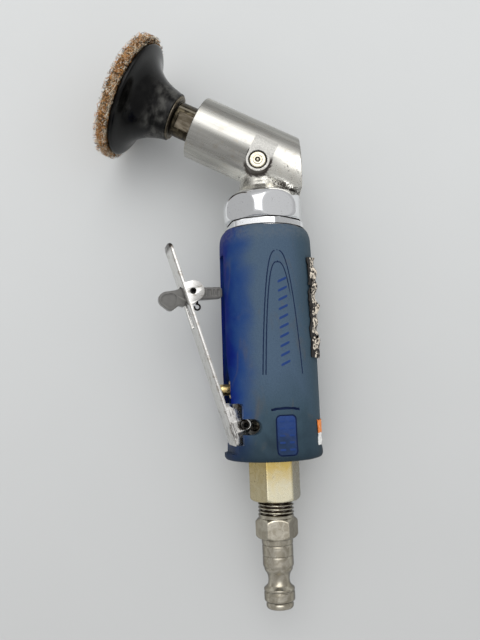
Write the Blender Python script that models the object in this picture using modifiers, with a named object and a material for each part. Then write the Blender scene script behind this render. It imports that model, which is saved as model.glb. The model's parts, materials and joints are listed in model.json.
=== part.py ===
"""Pneumatic angle die grinder with a two-inch quick-change surface conditioning disc.

The tool lies on its side: +Y runs along the handle towards the head, +Z is up, and the origin is
the centre of the bottom of its bounding box. All dimensions are millimetres, turned into metres
where the meshes are made. Empties carry the axes that the pieces are turned and placed on.
"""

import math

import bmesh
import bpy
from mathutils import Matrix, Vector

MM = 0.001
GAP = 0.3                      # between pieces that touch on the real tool
RUNNING_GAP = 0.2              # between pieces that turn past each other
ROUND = 20                     # segments of a large turned piece
FINE_ROUND = 32                # segments of the disc, the pad and the sleeve
SMALL_ROUND = 14               # segments of a small turned piece

# ---- driving dimensions: the whole tool ----------------------------------------------------
HEAD_ANGLE = 62.5              # between the handle axis and the spindle axis, degrees
LEVER_ROLL = 14.0              # how far the handle is turned in the head's clamp nut, degrees
DISC_RADIUS = 25.4             # two-inch disc
DISC_FACE = 62.8               # working face of the disc, along the spindle from the crossing
DISC_THICKNESS = 4.2
PLUG_END = -178.9              # end of the air plug, along the handle from the crossing
SLEEVE_LIP_RADIUS = 19.3

# ---- driving dimensions: the angle head (positions along the spindle) -----------------------
HEAD_RADIUS = 12.86
HEAD_FACE = 29.25
HEAD_BACK_PLANE = 15.5         # distance of the head's flat back from the handle axis
BEARING_BORE_RADIUS = 11.2
BEARING_SEAT = 12.8
GEAR_CHAMBER_RADIUS = 9.5
GEAR_CHAMBER_END = -10.6
HUB_FACE = 39.0                # outer end of the backing pad's hub
PAD_FACE = DISC_FACE - DISC_THICKNESS - GAP
PAD_RADIUS = 23.6
HUB_RADIUS = 10.0
HUB_RING_RADIUS = 9.2          # metal ring that closes the hub
NUT_RADIUS = 7.1               # collet nut
NUT_HALF_FLATS = 6.25          # its two wrench flats, from the spindle axis
NUT_FLATS_TURN = -19.0         # where the spindle stands at rest, degrees
NIPPLE_PLACE = (-1.7, -5.5)    # grease nipple, from the crossing of the two axes
NIPPLE_PAD_TOP = 12.75         # flat pad between the nipple and the crown of the head
NIPPLE_TOP = 14.2

# ---- driving dimensions: the bevel gears ----------------------------------------------------
PINION_TEETH = 12
GEAR_TEETH = 13
CONE_OUTER = 11.6              # outer and inner ends of the teeth, from the crossing
CONE_INNER = 7.5
ADDENDUM = 0.72
DEDENDUM = 1.12
TOOTH_FILL = 0.36              # tooth thickness over tooth pitch, so the pair runs with backlash

# ---- driving dimensions: the handle (positions along its axis, head end highest) ------------
NECK_TOP = -12.0
NECK_FLARE = -16.3
NECK_END = -27.5
NECK_RADIUS = 9.3
SPIGOT_RADIUS = 10.9
CLAMP_TOP = -16.96
CLAMP_BOTTOM = -28.7
COLLAR_BOTTOM = -31.8
HOUSING_TOP = -23.0
HOUSING_RADIUS = 15.5
HOUSING_BORE = 13.1
JOINT_PLANE = -88.6            # where the motor housing meets the handle body
BODY_SHOULDER = -114.0
BODY_END = -121.8
SLEEVE_TOP = -32.1
SLEEVE_END = -122.4
SLEEVE_BORE = 15.8
INLET_FLATS = 17.6
INLET_END = -138.5
PLUG_HEX_TOP = -145.3
PLUG_HEX_END = -152.6
PLUG_FLATS = 14.3
CLAMP_FLATS = 30.4
COLLAR_FLATS = 27.9
CLAMP_TURN = -9.5              # how far each hexagon is turned about the handle axis, degrees
COLLAR_TURN = 13.5
INLET_TURN = 40.0
PLUG_TURN = 32.5

# ---- driving dimensions: the air motor ------------------------------------------------------
MOTOR_RADIUS = 12.8
FRONT_PLATE = (-28.2, -36.9)
LINER = (-37.2, -77.6)
REAR_PLATE = (-77.9, -84.4)
LINER_BORE = 10.6
LINER_OFFSET = 1.4
ROTOR_RADIUS = 9.0
VANE_COUNT = 4
VANE_THICKNESS = 1.6
SHAFT_RADIUS = 3.0

# ---- driving dimensions: lever, latch and valve (x across, z along the handle) --------------
LEVER_PIVOT = (-12.9, -108.6)
LEVER_ANGLE = 16.8             # lever to handle at rest, degrees
LEVER_TIP = 75.5               # along the lever from its pivot
LEVER_TAIL = -6.8
LEVER_WEB = 5.75               # outer face of the web from the pivot line
SHEET = 1.0
FLANGE_EDGE = 4.3
LEVER_HALF_WIDTH = 6.5
PIVOT_EAR_RADIUS = 3.0
PIVOT_EAR_START = 9.0          # along the lever from its pivot
EAR_FOOT = -4.3
LUG_HALF_WIDTH = 5.2           # the lug of the valve body between the lever's ears
LATCH_EAR_RADIUS = 4.0
LATCH_PIVOT = (2.4, 54.8)      # outward of the pivot line, along the lever
LATCH_THICKNESS = 4.0
LATCH_ARM = 12.3
VALVE_HEIGHT = -95.1
STEM_TIP = 21.5
STEM_RADIUS = 2.2
STEM_NECK_RADIUS = 1.6         # where the stem passes the seat
REGULATOR = (-8.7, -109.3)
PIN_WINDOW_PLACE = (-11.6, -109.3)
LABEL_RADIUS = 18.98
LABEL_THICKNESS = 0.3

# Crossing of the spindle and handle axes, placed so that the bounding box stands on the origin.
SIN_HEAD = math.sin(math.radians(HEAD_ANGLE))
COS_HEAD = math.cos(math.radians(HEAD_ANGLE))
X_LOW = -(DISC_FACE * SIN_HEAD + DISC_RADIUS * COS_HEAD)
Y_HIGH = DISC_FACE * COS_HEAD + DISC_RADIUS * SIN_HEAD
CROSSING = (-(X_LOW + SLEEVE_LIP_RADIUS) / 2, -(Y_HIGH + PLUG_END) / 2, DISC_RADIUS)

BIG = 60.0                     # size of a cutter that only has to reach past the piece


# ---- scene, looks and placing ---------------------------------------------------------------

def clear_scene():
    for obj in list(bpy.data.objects):
        bpy.data.objects.remove(obj, do_unlink=True)


def new_collection(name):
    collection = bpy.data.collections.new(name)
    bpy.context.scene.collection.children.link(collection)
    return collection


def look(name, colour, roughness, metallic):
    """A Principled material."""
    material = bpy.data.materials.new(name)
    material.use_nodes = True
    shader = material.node_tree.nodes["Principled BSDF"]
    shader.inputs["Base Color"].default_value = (*colour, 1.0)
    shader.inputs["Roughness"].default_value = roughness
    shader.inputs["Metallic"].default_value = metallic
    return material


def make_looks():
    return {
        "aluminium": look("aluminium", (0.70, 0.69, 0.66), 0.32, 1.0),
        "chrome": look("chrome", (0.80, 0.81, 0.82), 0.12, 1.0),
        "steel": look("steel", (0.52, 0.52, 0.52), 0.30, 1.0),
        "dark_steel": look("dark_steel", (0.12, 0.11, 0.10), 0.38, 1.0),
        "brass": look("brass", (0.74, 0.55, 0.26), 0.30, 1.0),
        "nickel": look("nickel", (0.66, 0.62, 0.52), 0.30, 1.0),
        "bronze": look("bronze", (0.45, 0.28, 0.14), 0.45, 1.0),
        "blue_rubber": look("blue_rubber", (0.06, 0.11, 0.24), 0.60, 0.0),
        "black_rubber": look("black_rubber", (0.02, 0.02, 0.02), 0.40, 0.0),
        "tan_fibre": look("tan_fibre", (0.42, 0.26, 0.12), 0.95, 0.0),
        "black_plastic": look("black_plastic", (0.04, 0.04, 0.04), 0.45, 0.0),
        "vane_fibre": look("vane_fibre", (0.25, 0.13, 0.06), 0.70, 0.0),
        "felt": look("felt", (0.35, 0.33, 0.30), 1.0, 0.0),
        "worn_label": look("worn_label", (0.70, 0.66, 0.58), 0.70, 0.0),
        "orange_label": look("orange_label", (0.85, 0.30, 0.08), 0.60, 0.0),
    }


clear_scene()
PARTS = new_collection("angle_die_grinder")
CUTTERS = new_collection("cutters")
LOOKS = make_looks()


def empty(name, parent=None, location=(0, 0, 0), turn=None):
    """An empty that holds an axis: `turn` is its rotation matrix in the parent's frame."""
    axis = bpy.data.objects.new(name, None)
    PARTS.objects.link(axis)
    axis.parent = parent
    rotation = turn if turn is not None else Matrix.Identity(3)
    axis.matrix_local = Matrix.Translation(Vector(location) * MM) @ rotation.to_4x4()
    return axis


def turned_by(degrees, axis):
    return Matrix.Rotation(math.radians(degrees), 3, axis)


TOOL = empty("tool", location=CROSSING)
# Spindle axis: local Z runs out to the disc, local X is up.
SPINDLE = empty("spindle_axis", TOOL, turn=turned_by(HEAD_ANGLE, "Z") @ turned_by(-90, "X")
                @ turned_by(-90, "Z"))
# Motor axis: local Z runs along the handle towards the head.
MOTOR = empty("motor_axis", TOOL, turn=turned_by(-90, "X"))
# Handle: the motor axis, rolled. Local -X is the lever side and local -Y faces up.
HANDLE = empty("handle_axis", TOOL, turn=turned_by(LEVER_ROLL, "Y") @ turned_by(-90, "X"))
# Lever: origin on the pivot, local Z along the lever, local -X out of the handle.
LEVER = empty("lever_axis", HANDLE, (LEVER_PIVOT[0], 0, LEVER_PIVOT[1]),
              turned_by(-LEVER_ANGLE, "Y"))
LATCH = empty("latch_axis", LEVER, (-LATCH_PIVOT[0], 0, LATCH_PIVOT[1]),
              turned_by(LEVER_ANGLE, "Y"))
# Cross axes of the handle: the valve's local Z points out of the lever side.
VALVE = empty("valve_axis", HANDLE, (0, 0, VALVE_HEIGHT), turned_by(-90, "Y"))
REGULATOR_AXIS = empty("regulator_axis", HANDLE, (REGULATOR[0], 0, REGULATOR[1]),
                       turned_by(90, "X"))
NIPPLE = empty("nipple_axis", TOOL, (*NIPPLE_PLACE, 0))
NIPPLE_PAD = empty("nipple_pad_axis", NIPPLE, turn=turned_by(HEAD_ANGLE - 90, "Z"))
NUT_FLATS = empty("nut_flats_axis", SPINDLE, turn=turned_by(NUT_FLATS_TURN, "Z"))
LINER_AXIS = empty("liner_axis", MOTOR, (LINER_OFFSET, 0, 0))
DOWEL = empty("dowel_axis", MOTOR, (-11.0, 0, 0))
FEED = empty("feed_axis", HANDLE, (8.0, 0, 0))
LEVER_PIN = empty("lever_pin_axis", HANDLE, (LEVER_PIVOT[0], 0, LEVER_PIVOT[1]),
                  turned_by(90, "X"))
LATCH_PIN = empty("latch_pin_axis", LATCH, turn=turned_by(90, "X"))
PIN_WINDOW = empty("pin_window_axis", HANDLE, (PIN_WINDOW_PLACE[0], 0, PIN_WINDOW_PLACE[1]),
                   turned_by(90, "X"))


def add_object(name, data, material, parent, cutter=False):
    obj = bpy.data.objects.new(name, data)
    obj.parent = parent
    if cutter:
        obj.hide_render = True
        obj.display_type = "WIRE"
        CUTTERS.objects.link(obj)
    else:
        data.materials.append(LOOKS[material])
        PARTS.objects.link(obj)
    return obj


def mesh_of(name, bm):
    for vert in bm.verts:
        vert.co *= MM
    mesh = bpy.data.meshes.new(name)
    bm.to_mesh(mesh)
    bm.free()
    mesh.shade_smooth()
    mesh.set_sharp_from_angle(angle=math.radians(35))
    return mesh


# ---- shapes ---------------------------------------------------------------------------------

def turned(name, profile, material=None, parent=MOTOR, segments=ROUND, ring=False):
    """A turned piece about the parent's Z. `profile` holds (radius, height) points down the outer
    side; a ring's profile goes on up its bore and closes. Without a material it is a cutter."""
    bm = bmesh.new()
    verts = [bm.verts.new((radius, 0.0, height)) for radius, height in profile]
    for first, second in zip(verts, verts[1:]):
        bm.edges.new((first, second))
    if ring:
        bm.edges.new((verts[-1], verts[0]))
    obj = add_object(name, mesh_of(name, bm), material, parent, cutter=material is None)
    screw = obj.modifiers.new("turn", "SCREW")
    screw.axis = "Z"
    screw.angle = math.tau
    screw.steps = screw.render_steps = segments
    screw.use_merge_vertices = True
    screw.merge_threshold = 0.00001
    return obj


def rod(name, radius, low, high, material=None, parent=MOTOR, segments=SMALL_ROUND):
    profile = [(0, high), (radius, high), (radius, low), (0, low)]
    return turned(name, profile, material, parent, segments)


def tube(name, bore, radius, low, high, material=None, parent=MOTOR, segments=ROUND):
    profile = [(radius, high), (radius, low), (bore, low), (bore, high)]
    return turned(name, profile, material, parent, segments, ring=True)


def block(name, low, high, material=None, parent=HANDLE):
    """A box between two corners in the parent's frame."""
    bm = bmesh.new()
    bmesh.ops.create_cube(bm, size=1.0)
    size = [b - a for a, b in zip(low, high)]
    middle = [(a + b) / 2 for a, b in zip(low, high)]
    bmesh.ops.scale(bm, vec=size, verts=bm.verts)
    bmesh.ops.translate(bm, vec=middle, verts=bm.verts)
    return add_object(name, mesh_of(name, bm), material, parent, cutter=material is None)


def hexagon(name, flats, low, high, turn, material=None, parent=MOTOR):
    """A hexagonal prism, `flats` across, turned about the parent's Z."""
    bm = bmesh.new()
    radius = flats / 2 / math.cos(math.pi / 6)
    bmesh.ops.create_cone(bm, cap_ends=True, segments=6, radius1=radius, radius2=radius,
                          depth=high - low)
    bmesh.ops.translate(bm, vec=(0, 0, (low + high) / 2), verts=bm.verts)
    bmesh.ops.rotate(bm, cent=(0, 0, 0), matrix=turned_by(turn, "Z"), verts=bm.verts)
    return add_object(name, mesh_of(name, bm), material, parent, cutter=material is None)


MANIFOLD_PIECES = {"angle_head", "handle_body", "exhaust_diffuser"}   # EXACT leaves these open


def combine(obj, other, operation):
    boolean = obj.modifiers.new(other.name, "BOOLEAN")
    boolean.object = other
    boolean.operation = operation
    boolean.solver = "MANIFOLD" if obj.name in MANIFOLD_PIECES else "EXACT"


def cut(obj, *cutters):
    for cutter in cutters:
        combine(obj, cutter, "DIFFERENCE")
    return obj


def join(obj, *additions):
    for addition in additions:
        combine(obj, addition, "UNION")
    return obj


def keep(obj, *envelopes):
    for envelope in envelopes:
        combine(obj, envelope, "INTERSECT")
    return obj


def solid_from_curve(name, curve, material, parent, location=(0, 0, 0), turn=None):
    """Evaluate a curve, weld its caps and keep the result as a mesh object on the parent."""
    guide = bpy.data.objects.new(name + "_guide", curve)
    CUTTERS.objects.link(guide)
    evaluated = guide.evaluated_get(bpy.context.evaluated_depsgraph_get())
    mesh = bpy.data.meshes.new_from_object(evaluated)
    bpy.data.objects.remove(guide, do_unlink=True)
    bm = bmesh.new()
    bm.from_mesh(mesh)
    bmesh.ops.remove_doubles(bm, verts=bm.verts, dist=0.000005)
    bmesh.ops.recalc_face_normals(bm, faces=bm.faces)
    bm.to_mesh(mesh)
    bm.free()
    obj = add_object(name, mesh, material, parent)
    rotation = turn if turn is not None else Matrix.Identity(3)
    obj.matrix_local = Matrix.Translation(Vector(location) * MM) @ rotation.to_4x4()
    return obj


def wire(name, points, radius, material, parent, location=(0, 0, 0), turn=None):
    """A round wire along a polyline."""
    curve = bpy.data.curves.new(name, "CURVE")
    curve.dimensions = "3D"
    curve.bevel_depth = radius * MM
    curve.bevel_resolution = 2
    curve.use_fill_caps = True
    spline = curve.splines.new("POLY")
    spline.points.add(len(points) - 1)
    for point, place in zip(spline.points, points):
        point.co = (*(Vector(place) * MM), 1.0)
    return solid_from_curve(name, curve, material, parent, location, turn)


def plate(name, outline, thickness, material, parent, turn=None):
    """A flat outline (x, y) given thickness both ways along the parent's Z after `turn`."""
    curve = bpy.data.curves.new(name, "CURVE")
    curve.dimensions = "2D"
    curve.fill_mode = "BOTH"
    curve.extrude = thickness / 2 * MM
    spline = curve.splines.new("POLY")
    spline.points.add(len(outline) - 1)
    for point, (x, y) in zip(spline.points, outline):
        point.co = (x * MM, y * MM, 0.0, 1.0)
    spline.use_cyclic_u = True
    return solid_from_curve(name, curve, material, parent, turn=turn)


def arc(centre, radius, start, end, steps):
    """Points on an arc from one angle to another, in degrees."""
    points = []
    for i in range(steps + 1):
        angle = math.radians(start + (end - start) * i / steps)
        points.append((centre[0] + radius * math.cos(angle), centre[1] + radius * math.sin(angle)))
    return points


def coil(turns, radius, start, end, per_turn):
    """Points of a coil about Z from one height to another."""
    count = round(turns * per_turn)
    points = []
    for i in range(count + 1):
        angle = math.tau * turns * i / count
        height = start + (end - start) * i / count
        points.append((radius * math.cos(angle), radius * math.sin(angle), height))
    return points


# ---- ball bearings --------------------------------------------------------------------------

def bearing(name, parent, bore, radius, low, high, balls):
    """A ball bearing as three pieces: outer ring, inner ring, and a cage holding its balls."""
    wall = (radius - bore) * 0.27
    pitch_radius = (bore + radius) / 2
    ball_radius = (radius - bore) / 2 - wall - RUNNING_GAP
    middle = (low + high) / 2
    tube(name + "_outer", radius - wall, radius, low, high, "steel", parent)
    tube(name + "_inner", bore, bore + wall, low, high, "steel", parent, SMALL_ROUND)
    cage = tube(name + "_cage", pitch_radius - ball_radius * 0.6, pitch_radius + ball_radius * 0.6,
                middle - ball_radius * 0.35, middle + ball_radius * 0.35, "brass", parent, SMALL_ROUND)
    for i in range(balls):
        angle = math.tau * (i + 0.31) / balls
        bm = bmesh.new()
        bmesh.ops.create_icosphere(bm, subdivisions=1, radius=ball_radius)
        place = (pitch_radius * math.cos(angle), pitch_radius * math.sin(angle), middle)
        bmesh.ops.translate(bm, vec=place, verts=bm.verts)
        ball_name = f"{name}_ball_{i + 1}"
        join(cage, add_object(ball_name, mesh_of(ball_name, bm), None, parent, cutter=True))


# ---- bevel gears ----------------------------------------------------------------------------

def pitch_angles():
    """Pitch cone half-angles of the pinion and the gear whose axes cross at the head angle."""
    shaft = math.radians(HEAD_ANGLE)
    pinion = math.atan2(math.sin(shaft), GEAR_TEETH / PINION_TEETH + math.cos(shaft))
    return pinion, shaft - pinion


def tooth_ring(teeth, pitch_angle, distance, phase):
    """One ring of a straight bevel gear: root, tip, tip, root for each tooth. The gear's apex is
    at the origin and its body lies towards -Z."""
    root = pitch_angle - math.atan(DEDENDUM / CONE_OUTER)
    tip = pitch_angle + math.atan(ADDENDUM / CONE_OUTER)
    pitch = math.tau / teeth
    half = pitch * TOOTH_FILL / 2
    points = []
    for i in range(teeth):
        middle = phase + i * pitch
        for cone, offset in ((root, -1.45 * half), (tip, -0.55 * half), (tip, 0.55 * half),
                             (root, 1.45 * half)):
            radius = distance * math.sin(cone)
            points.append((radius * math.cos(middle + offset), radius * math.sin(middle + offset),
                           -distance * math.cos(cone)))
    return points


def bevel_teeth(name, teeth, pitch_angle, bore, phase, parent, material=None):
    """A bevel gear with a bore: the toothed rings are lofted to plain rings at the bore."""
    outer = tooth_ring(teeth, pitch_angle, CONE_OUTER, phase)
    inner = tooth_ring(teeth, pitch_angle, CONE_INNER, phase)
    back = min(point[2] for point in outer)
    front = max(point[2] for point in inner)

    def bore_ring(points, height):
        ring = []
        for x, y, _ in points:
            scale = bore / math.hypot(x, y)
            ring.append((x * scale, y * scale, height))
        return ring

    bm = bmesh.new()
    rings = [[bm.verts.new(point) for point in points]
             for points in (inner, outer, bore_ring(outer, back), bore_ring(inner, front))]
    count = len(outer)
    for ring, following in zip(rings, rings[1:] + rings[:1]):
        for i in range(count):
            j = (i + 1) % count
            bm.faces.new((ring[i], following[i], following[j], ring[j]))
    bmesh.ops.recalc_face_normals(bm, faces=bm.faces)
    return add_object(name, mesh_of(name, bm), material, parent, cutter=material is None)


# ---- the angle head -------------------------------------------------------------------------

def angle_head():
    head = turned("angle_head", [
        (0, HEAD_FACE), (HEAD_RADIUS - 0.5, HEAD_FACE), (HEAD_RADIUS, HEAD_FACE - 0.5),
        (HEAD_RADIUS, -BIG / 2), (0, -BIG / 2)], "aluminium", SPINDLE)
    neck = turned("neck_shape", [
        (0, -2.0), (NECK_RADIUS, -2.0), (NECK_RADIUS, NECK_TOP), (NECK_RADIUS + 0.5, NECK_TOP - 2.6),
        (SPIGOT_RADIUS, NECK_FLARE), (SPIGOT_RADIUS, -21.4), (10.0, -21.4), (10.0, -22.8),
        (SPIGOT_RADIUS, -22.8), (SPIGOT_RADIUS, NECK_END), (0, NECK_END)])
    boss = rod("nipple_boss", 4.9, 6.0, NIPPLE_TOP - 0.9, parent=NIPPLE)
    pad = block("nipple_pad", (-4.85, 0, 6.0), (4.85, 5.9, NIPPLE_PAD_TOP), parent=NIPPLE_PAD)
    cut(head,
        block("head_back", (HEAD_BACK_PLANE, -BIG, -BIG), (BIG, BIG, BIG), parent=TOOL),
        block("head_underside", (-BIG, -BIG, -BIG), (BIG, CLAMP_TOP + GAP, BIG), parent=TOOL))
    join(head, neck, boss, pad)
    cut(head,
        rod("bearing_bore", BEARING_BORE_RADIUS, BEARING_SEAT, HEAD_FACE + 1, parent=SPINDLE,
            segments=ROUND),
        rod("gear_chamber", GEAR_CHAMBER_RADIUS, GEAR_CHAMBER_END, BEARING_SEAT + 0.5,
            parent=SPINDLE, segments=ROUND),
        rod("bushing_seat", 4.9, -14.0, GEAR_CHAMBER_END + 0.5, parent=SPINDLE),
        turned("neck_bore", [(0, -3.0), (7.7, -3.0), (7.7, -17.7), (8.3, -17.7), (8.3, -18.9),
                             (7.7, -18.9), (7.7, NECK_END - 1), (0, NECK_END - 1)]),
        rod("nipple_bore", 2.6, 5.0, NIPPLE_TOP + 1, parent=NIPPLE))


def grease_nipple():
    turned("grease_nipple", [
        (3.6, NIPPLE_TOP), (4.0, NIPPLE_TOP - 0.3), (4.0, NIPPLE_TOP - 0.6),
        (2.3, NIPPLE_TOP - 0.6), (2.3, NIPPLE_TOP - 4.2), (0.6, NIPPLE_TOP - 4.2),
        (0.6, NIPPLE_TOP - 1.9), (1.2, NIPPLE_TOP - 1.6), (1.2, NIPPLE_TOP)],
        "nickel", NIPPLE, SMALL_ROUND, ring=True)
    bm = bmesh.new()
    bmesh.ops.create_icosphere(bm, subdivisions=2, radius=0.8)
    bmesh.ops.translate(bm, vec=(0, 0, NIPPLE_TOP - 0.65), verts=bm.verts)
    add_object("grease_check_ball", mesh_of("grease_check_ball", bm), "steel", NIPPLE)


def front_bearing_group():
    bearing("spindle_bearing", SPINDLE, 4.2, 11.0, BEARING_SEAT + GAP, 20.0, 7)
    turned("front_bearing_cap", [
        (11.0, HEAD_FACE - 0.3), (11.0, 20.3), (9.9, 20.3), (9.9, 26.0), (6.5, 26.0),
        (6.5, HEAD_FACE - 0.3)], "dark_steel", SPINDLE, ring=True)
    tube("spindle_seal", 6.2, 9.6, 22.6, 25.7, "felt", SPINDLE)
    tube("spindle_rear_bushing", 2.75, 4.7, -13.7, GEAR_CHAMBER_END - GAP, "bronze", SPINDLE)


def spindle_group():
    turned("spindle", [
        (0, 21.5), (4.8, 21.5), (4.8, 34.5), (5.9, 34.5), (5.9, 20.3), (3.95, 20.3), (3.95, 12.4),
        (SHAFT_RADIUS, 12.4), (SHAFT_RADIUS, -10.4), (2.5, -10.4), (2.5, -13.5), (0, -13.5)],
        "steel", SPINDLE)
    _, gear_angle = pitch_angles()
    half_pitch = math.pi / GEAR_TEETH
    # The pinion meets the gear on the handle side, where the gear shows a gap.
    bevel_teeth("bevel_gear", GEAR_TEETH, gear_angle, SHAFT_RADIUS + GAP, -math.pi / 2 + half_pitch,
                SPINDLE, "dark_steel")
    collet = turned("collet", [
        (4.0, 35.4), (4.5, 33.0), (4.5, 22.4), (3.5, 22.4), (3.5, 35.4)], "steel", SPINDLE,
        SMALL_ROUND, ring=True)
    cut(collet, block("collet_slit", (-0.3, 0.5, 24.0), (0.3, 10, 36), parent=SPINDLE))
    nut = turned("collet_nut", [
        (5.4, 38.4), (NUT_RADIUS - 0.2, 38.4), (NUT_RADIUS, 38.0), (NUT_RADIUS, 30.2), (6.2, 30.2),
        (6.2, 35.8), (3.6, 35.8), (3.6, 38.4)], "dark_steel", SPINDLE, ring=True)
    cut(nut,
        block("nut_flat_near", (NUT_HALF_FLATS, -20, 29), (20, 20, 36.6), parent=NUT_FLATS),
        block("nut_flat_far", (-20, -20, 29), (-NUT_HALF_FLATS, 20, 36.6), parent=NUT_FLATS))


def mandrel():
    """Quarter-inch shank, a flange that closes the pad's hub, and a socket for the disc's button."""
    turned("pad_mandrel", [
        (0, 47.0), (3.7, 47.0), (3.7, 56.0), (5.2, 56.0), (5.2, HUB_FACE + 1.3),
        (HUB_RING_RADIUS, HUB_FACE + 1.3), (HUB_RING_RADIUS, HUB_FACE - 0.1),
        (3.17, HUB_FACE - 0.1), (3.17, 23.0), (0, 23.0)], "dark_steel", SPINDLE)


def backing_pad():
    """A trumpet: straight hub, a concave flare, and a thin band at the rim."""
    flare = [(radius, height) for height, radius in (
        (PAD_FACE, PAD_RADIUS), (PAD_FACE - 1.2, PAD_RADIUS), (55.6, 21.0), (53.4, 17.0),
        (50.6, 13.8), (47.0, 11.6), (43.0, 10.3), (40.2, HUB_RADIUS),
        (HUB_FACE + 0.5, HUB_RADIUS - 0.3))]
    ring_bore = HUB_RING_RADIUS + 0.2
    bore = [(ring_bore, HUB_FACE + 0.5), (ring_bore, HUB_FACE + 1.6), (5.5, HUB_FACE + 1.6),
            (5.5, PAD_FACE)]
    turned("backing_pad", flare + bore, "black_rubber", SPINDLE, FINE_ROUND, ring=True)


def disc_and_button():
    turned("abrasive_disc", [
        (3.8, DISC_FACE), (DISC_RADIUS, DISC_FACE), (DISC_RADIUS, DISC_FACE - DISC_THICKNESS),
        (8.9, DISC_FACE - DISC_THICKNESS), (8.9, DISC_FACE - 1.6), (3.8, DISC_FACE - 1.6)],
        "tan_fibre", SPINDLE, FINE_ROUND, ring=True)
    turned("disc_button", [
        (0, DISC_FACE - 2.0), (8.6, DISC_FACE - 2.0), (8.6, DISC_FACE - DISC_THICKNESS + 0.2),
        (3.4, DISC_FACE - DISC_THICKNESS + 0.2), (3.4, 49.0), (0, 49.0)],
        "black_plastic", SPINDLE, SMALL_ROUND)


# ---- the neck: bevel pinion and the nut that clamps the head ---------------------------------

def pinion_group():
    """The pinion is one piece with its shaft, whose lower end is a socket for the rotor."""
    pinion_angle, _ = pitch_angles()
    shaft = turned("bevel_pinion", [
        (0, -6.4), (SHAFT_RADIUS, -6.4), (SHAFT_RADIUS, -18.9), (4.4, -18.9), (4.4, -27.0),
        (2.8, -27.0), (2.8, -20.0), (0, -20.0)], "dark_steel", MOTOR, SMALL_ROUND)
    join(shaft, bevel_teeth("pinion_teeth", PINION_TEETH, pinion_angle, SHAFT_RADIUS - GAP, 0.0,
                            MOTOR))
    bearing("pinion_bearing", MOTOR, SHAFT_RADIUS + GAP, 7.5, -17.3, -12.3, 6)
    tube("pinion_bearing_clip", 5.9, 8.0, -18.7, -17.9, "dark_steel", MOTOR)


def clamp_nut():
    nut = turned("clamp_nut", [
        (13.9, CLAMP_TOP), (15.2, CLAMP_TOP - 1.4), (16.0, CLAMP_TOP - 3.6), (16.2, -24.0),
        (16.2, CLAMP_BOTTOM), (14.3, CLAMP_BOTTOM), (14.3, -21.3), (11.3, -21.3),
        (11.3, CLAMP_TOP)], "chrome", MOTOR, ROUND, ring=True)
    keep(nut, hexagon("nut_flats", CLAMP_FLATS, CLAMP_BOTTOM - 1, CLAMP_TOP + 1, CLAMP_TURN))
    ring = tube("neck_snap_ring", 10.25, 12.6, -22.55, -21.65, "steel", MOTOR)
    cut(ring, block("snap_ring_gap", (9, -1.5, -23), (14, 1.5, -21), parent=MOTOR))


# ---- the air motor --------------------------------------------------------------------------

def motor_housing():
    housing = turned("motor_housing", [
        (14.0, HOUSING_TOP), (14.0, CLAMP_BOTTOM - GAP), (HOUSING_RADIUS, CLAMP_BOTTOM - GAP),
        (HOUSING_RADIUS, JOINT_PLANE + GAP), (HOUSING_BORE, JOINT_PLANE + GAP),
        (HOUSING_BORE, NECK_END - 0.4), (11.2, NECK_END - 0.4), (11.2, HOUSING_TOP)],
        "aluminium", MOTOR, ring=True)
    collar = hexagon("collar_flats", COLLAR_FLATS, COLLAR_BOTTOM, CLAMP_BOTTOM - GAP - 0.01,
                     COLLAR_TURN)
    bore = rod("collar_bore", 13.0, COLLAR_BOTTOM - 1, CLAMP_BOTTOM, segments=ROUND)
    join(housing, cut(collar, bore))


def end_plates():
    top, bottom = FRONT_PLATE
    turned("front_end_plate", [
        (MOTOR_RADIUS, top), (MOTOR_RADIUS, bottom), (3.7, bottom), (3.7, -34.1), (9.7, -34.1),
        (9.7, top)], "steel", MOTOR, ring=True)
    bearing("rotor_front_bearing", MOTOR, SHAFT_RADIUS + GAP, 9.4, -33.8, -28.5, 7)
    top, bottom = REAR_PLATE
    plate_ring = turned("rear_end_plate", [
        (MOTOR_RADIUS, top), (MOTOR_RADIUS, bottom), (7.7, bottom), (7.7, -79.2), (3.7, -79.2),
        (3.7, top)], "steel", MOTOR, ring=True)
    cut(plate_ring, rod("plate_dowel_hole", 1.2, -81.2, -77.0, parent=DOWEL))
    bearing("rotor_rear_bearing", MOTOR, SHAFT_RADIUS + GAP, 7.4, -84.2, -79.5, 6)


def cylinder_liner():
    top, bottom = LINER
    liner = rod("cylinder_liner", MOTOR_RADIUS, bottom, top, "steel", MOTOR, ROUND)
    bore = turned("liner_bore", [(0, top + 1), (LINER_BORE, top + 1), (LINER_BORE, bottom - 1),
                                 (0, bottom - 1)], parent=LINER_AXIS)
    cut(liner, bore, rod("liner_dowel_hole", 1.2, bottom - 1, bottom + 4.0, parent=DOWEL))
    for port, height in enumerate((-50.0, -57.0, -64.0)):
        cut(liner, block(f"exhaust_port_{port + 1}", (8, -1.5, height - 1.2), (14, 1.5, height + 1.2),
                         parent=MOTOR))
    rod("cylinder_dowel", 1.0, -81.0, bottom + 3.6, "steel", DOWEL, 12)


def rotor_and_vanes():
    low, high = LINER[1] + GAP, LINER[0] - GAP
    rotor = turned("rotor", [
        (0, -20.6), (2.5, -20.6), (2.5, -28.2), (SHAFT_RADIUS, -28.2), (SHAFT_RADIUS, high),
        (ROTOR_RADIUS, high), (ROTOR_RADIUS, low), (SHAFT_RADIUS, low), (SHAFT_RADIUS, -84.6),
        (0, -84.6)], "steel", MOTOR)
    half = VANE_THICKNESS / 2
    for i in range(VANE_COUNT):
        axis = empty(f"vane_axis_{i + 1}", MOTOR, turn=turned_by(45 + 360 / VANE_COUNT * i, "Z"))
        cut(rotor, block(f"vane_slot_{i + 1}", (3.6, -half - 0.15, low - 1),
                         (12, half + 0.15, high + 1), parent=axis))
        block(f"vane_{i + 1}", (3.9, -half, low + 0.2), (ROTOR_RADIUS - 0.1, half, high - 0.2),
              "vane_fibre", axis)


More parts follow.
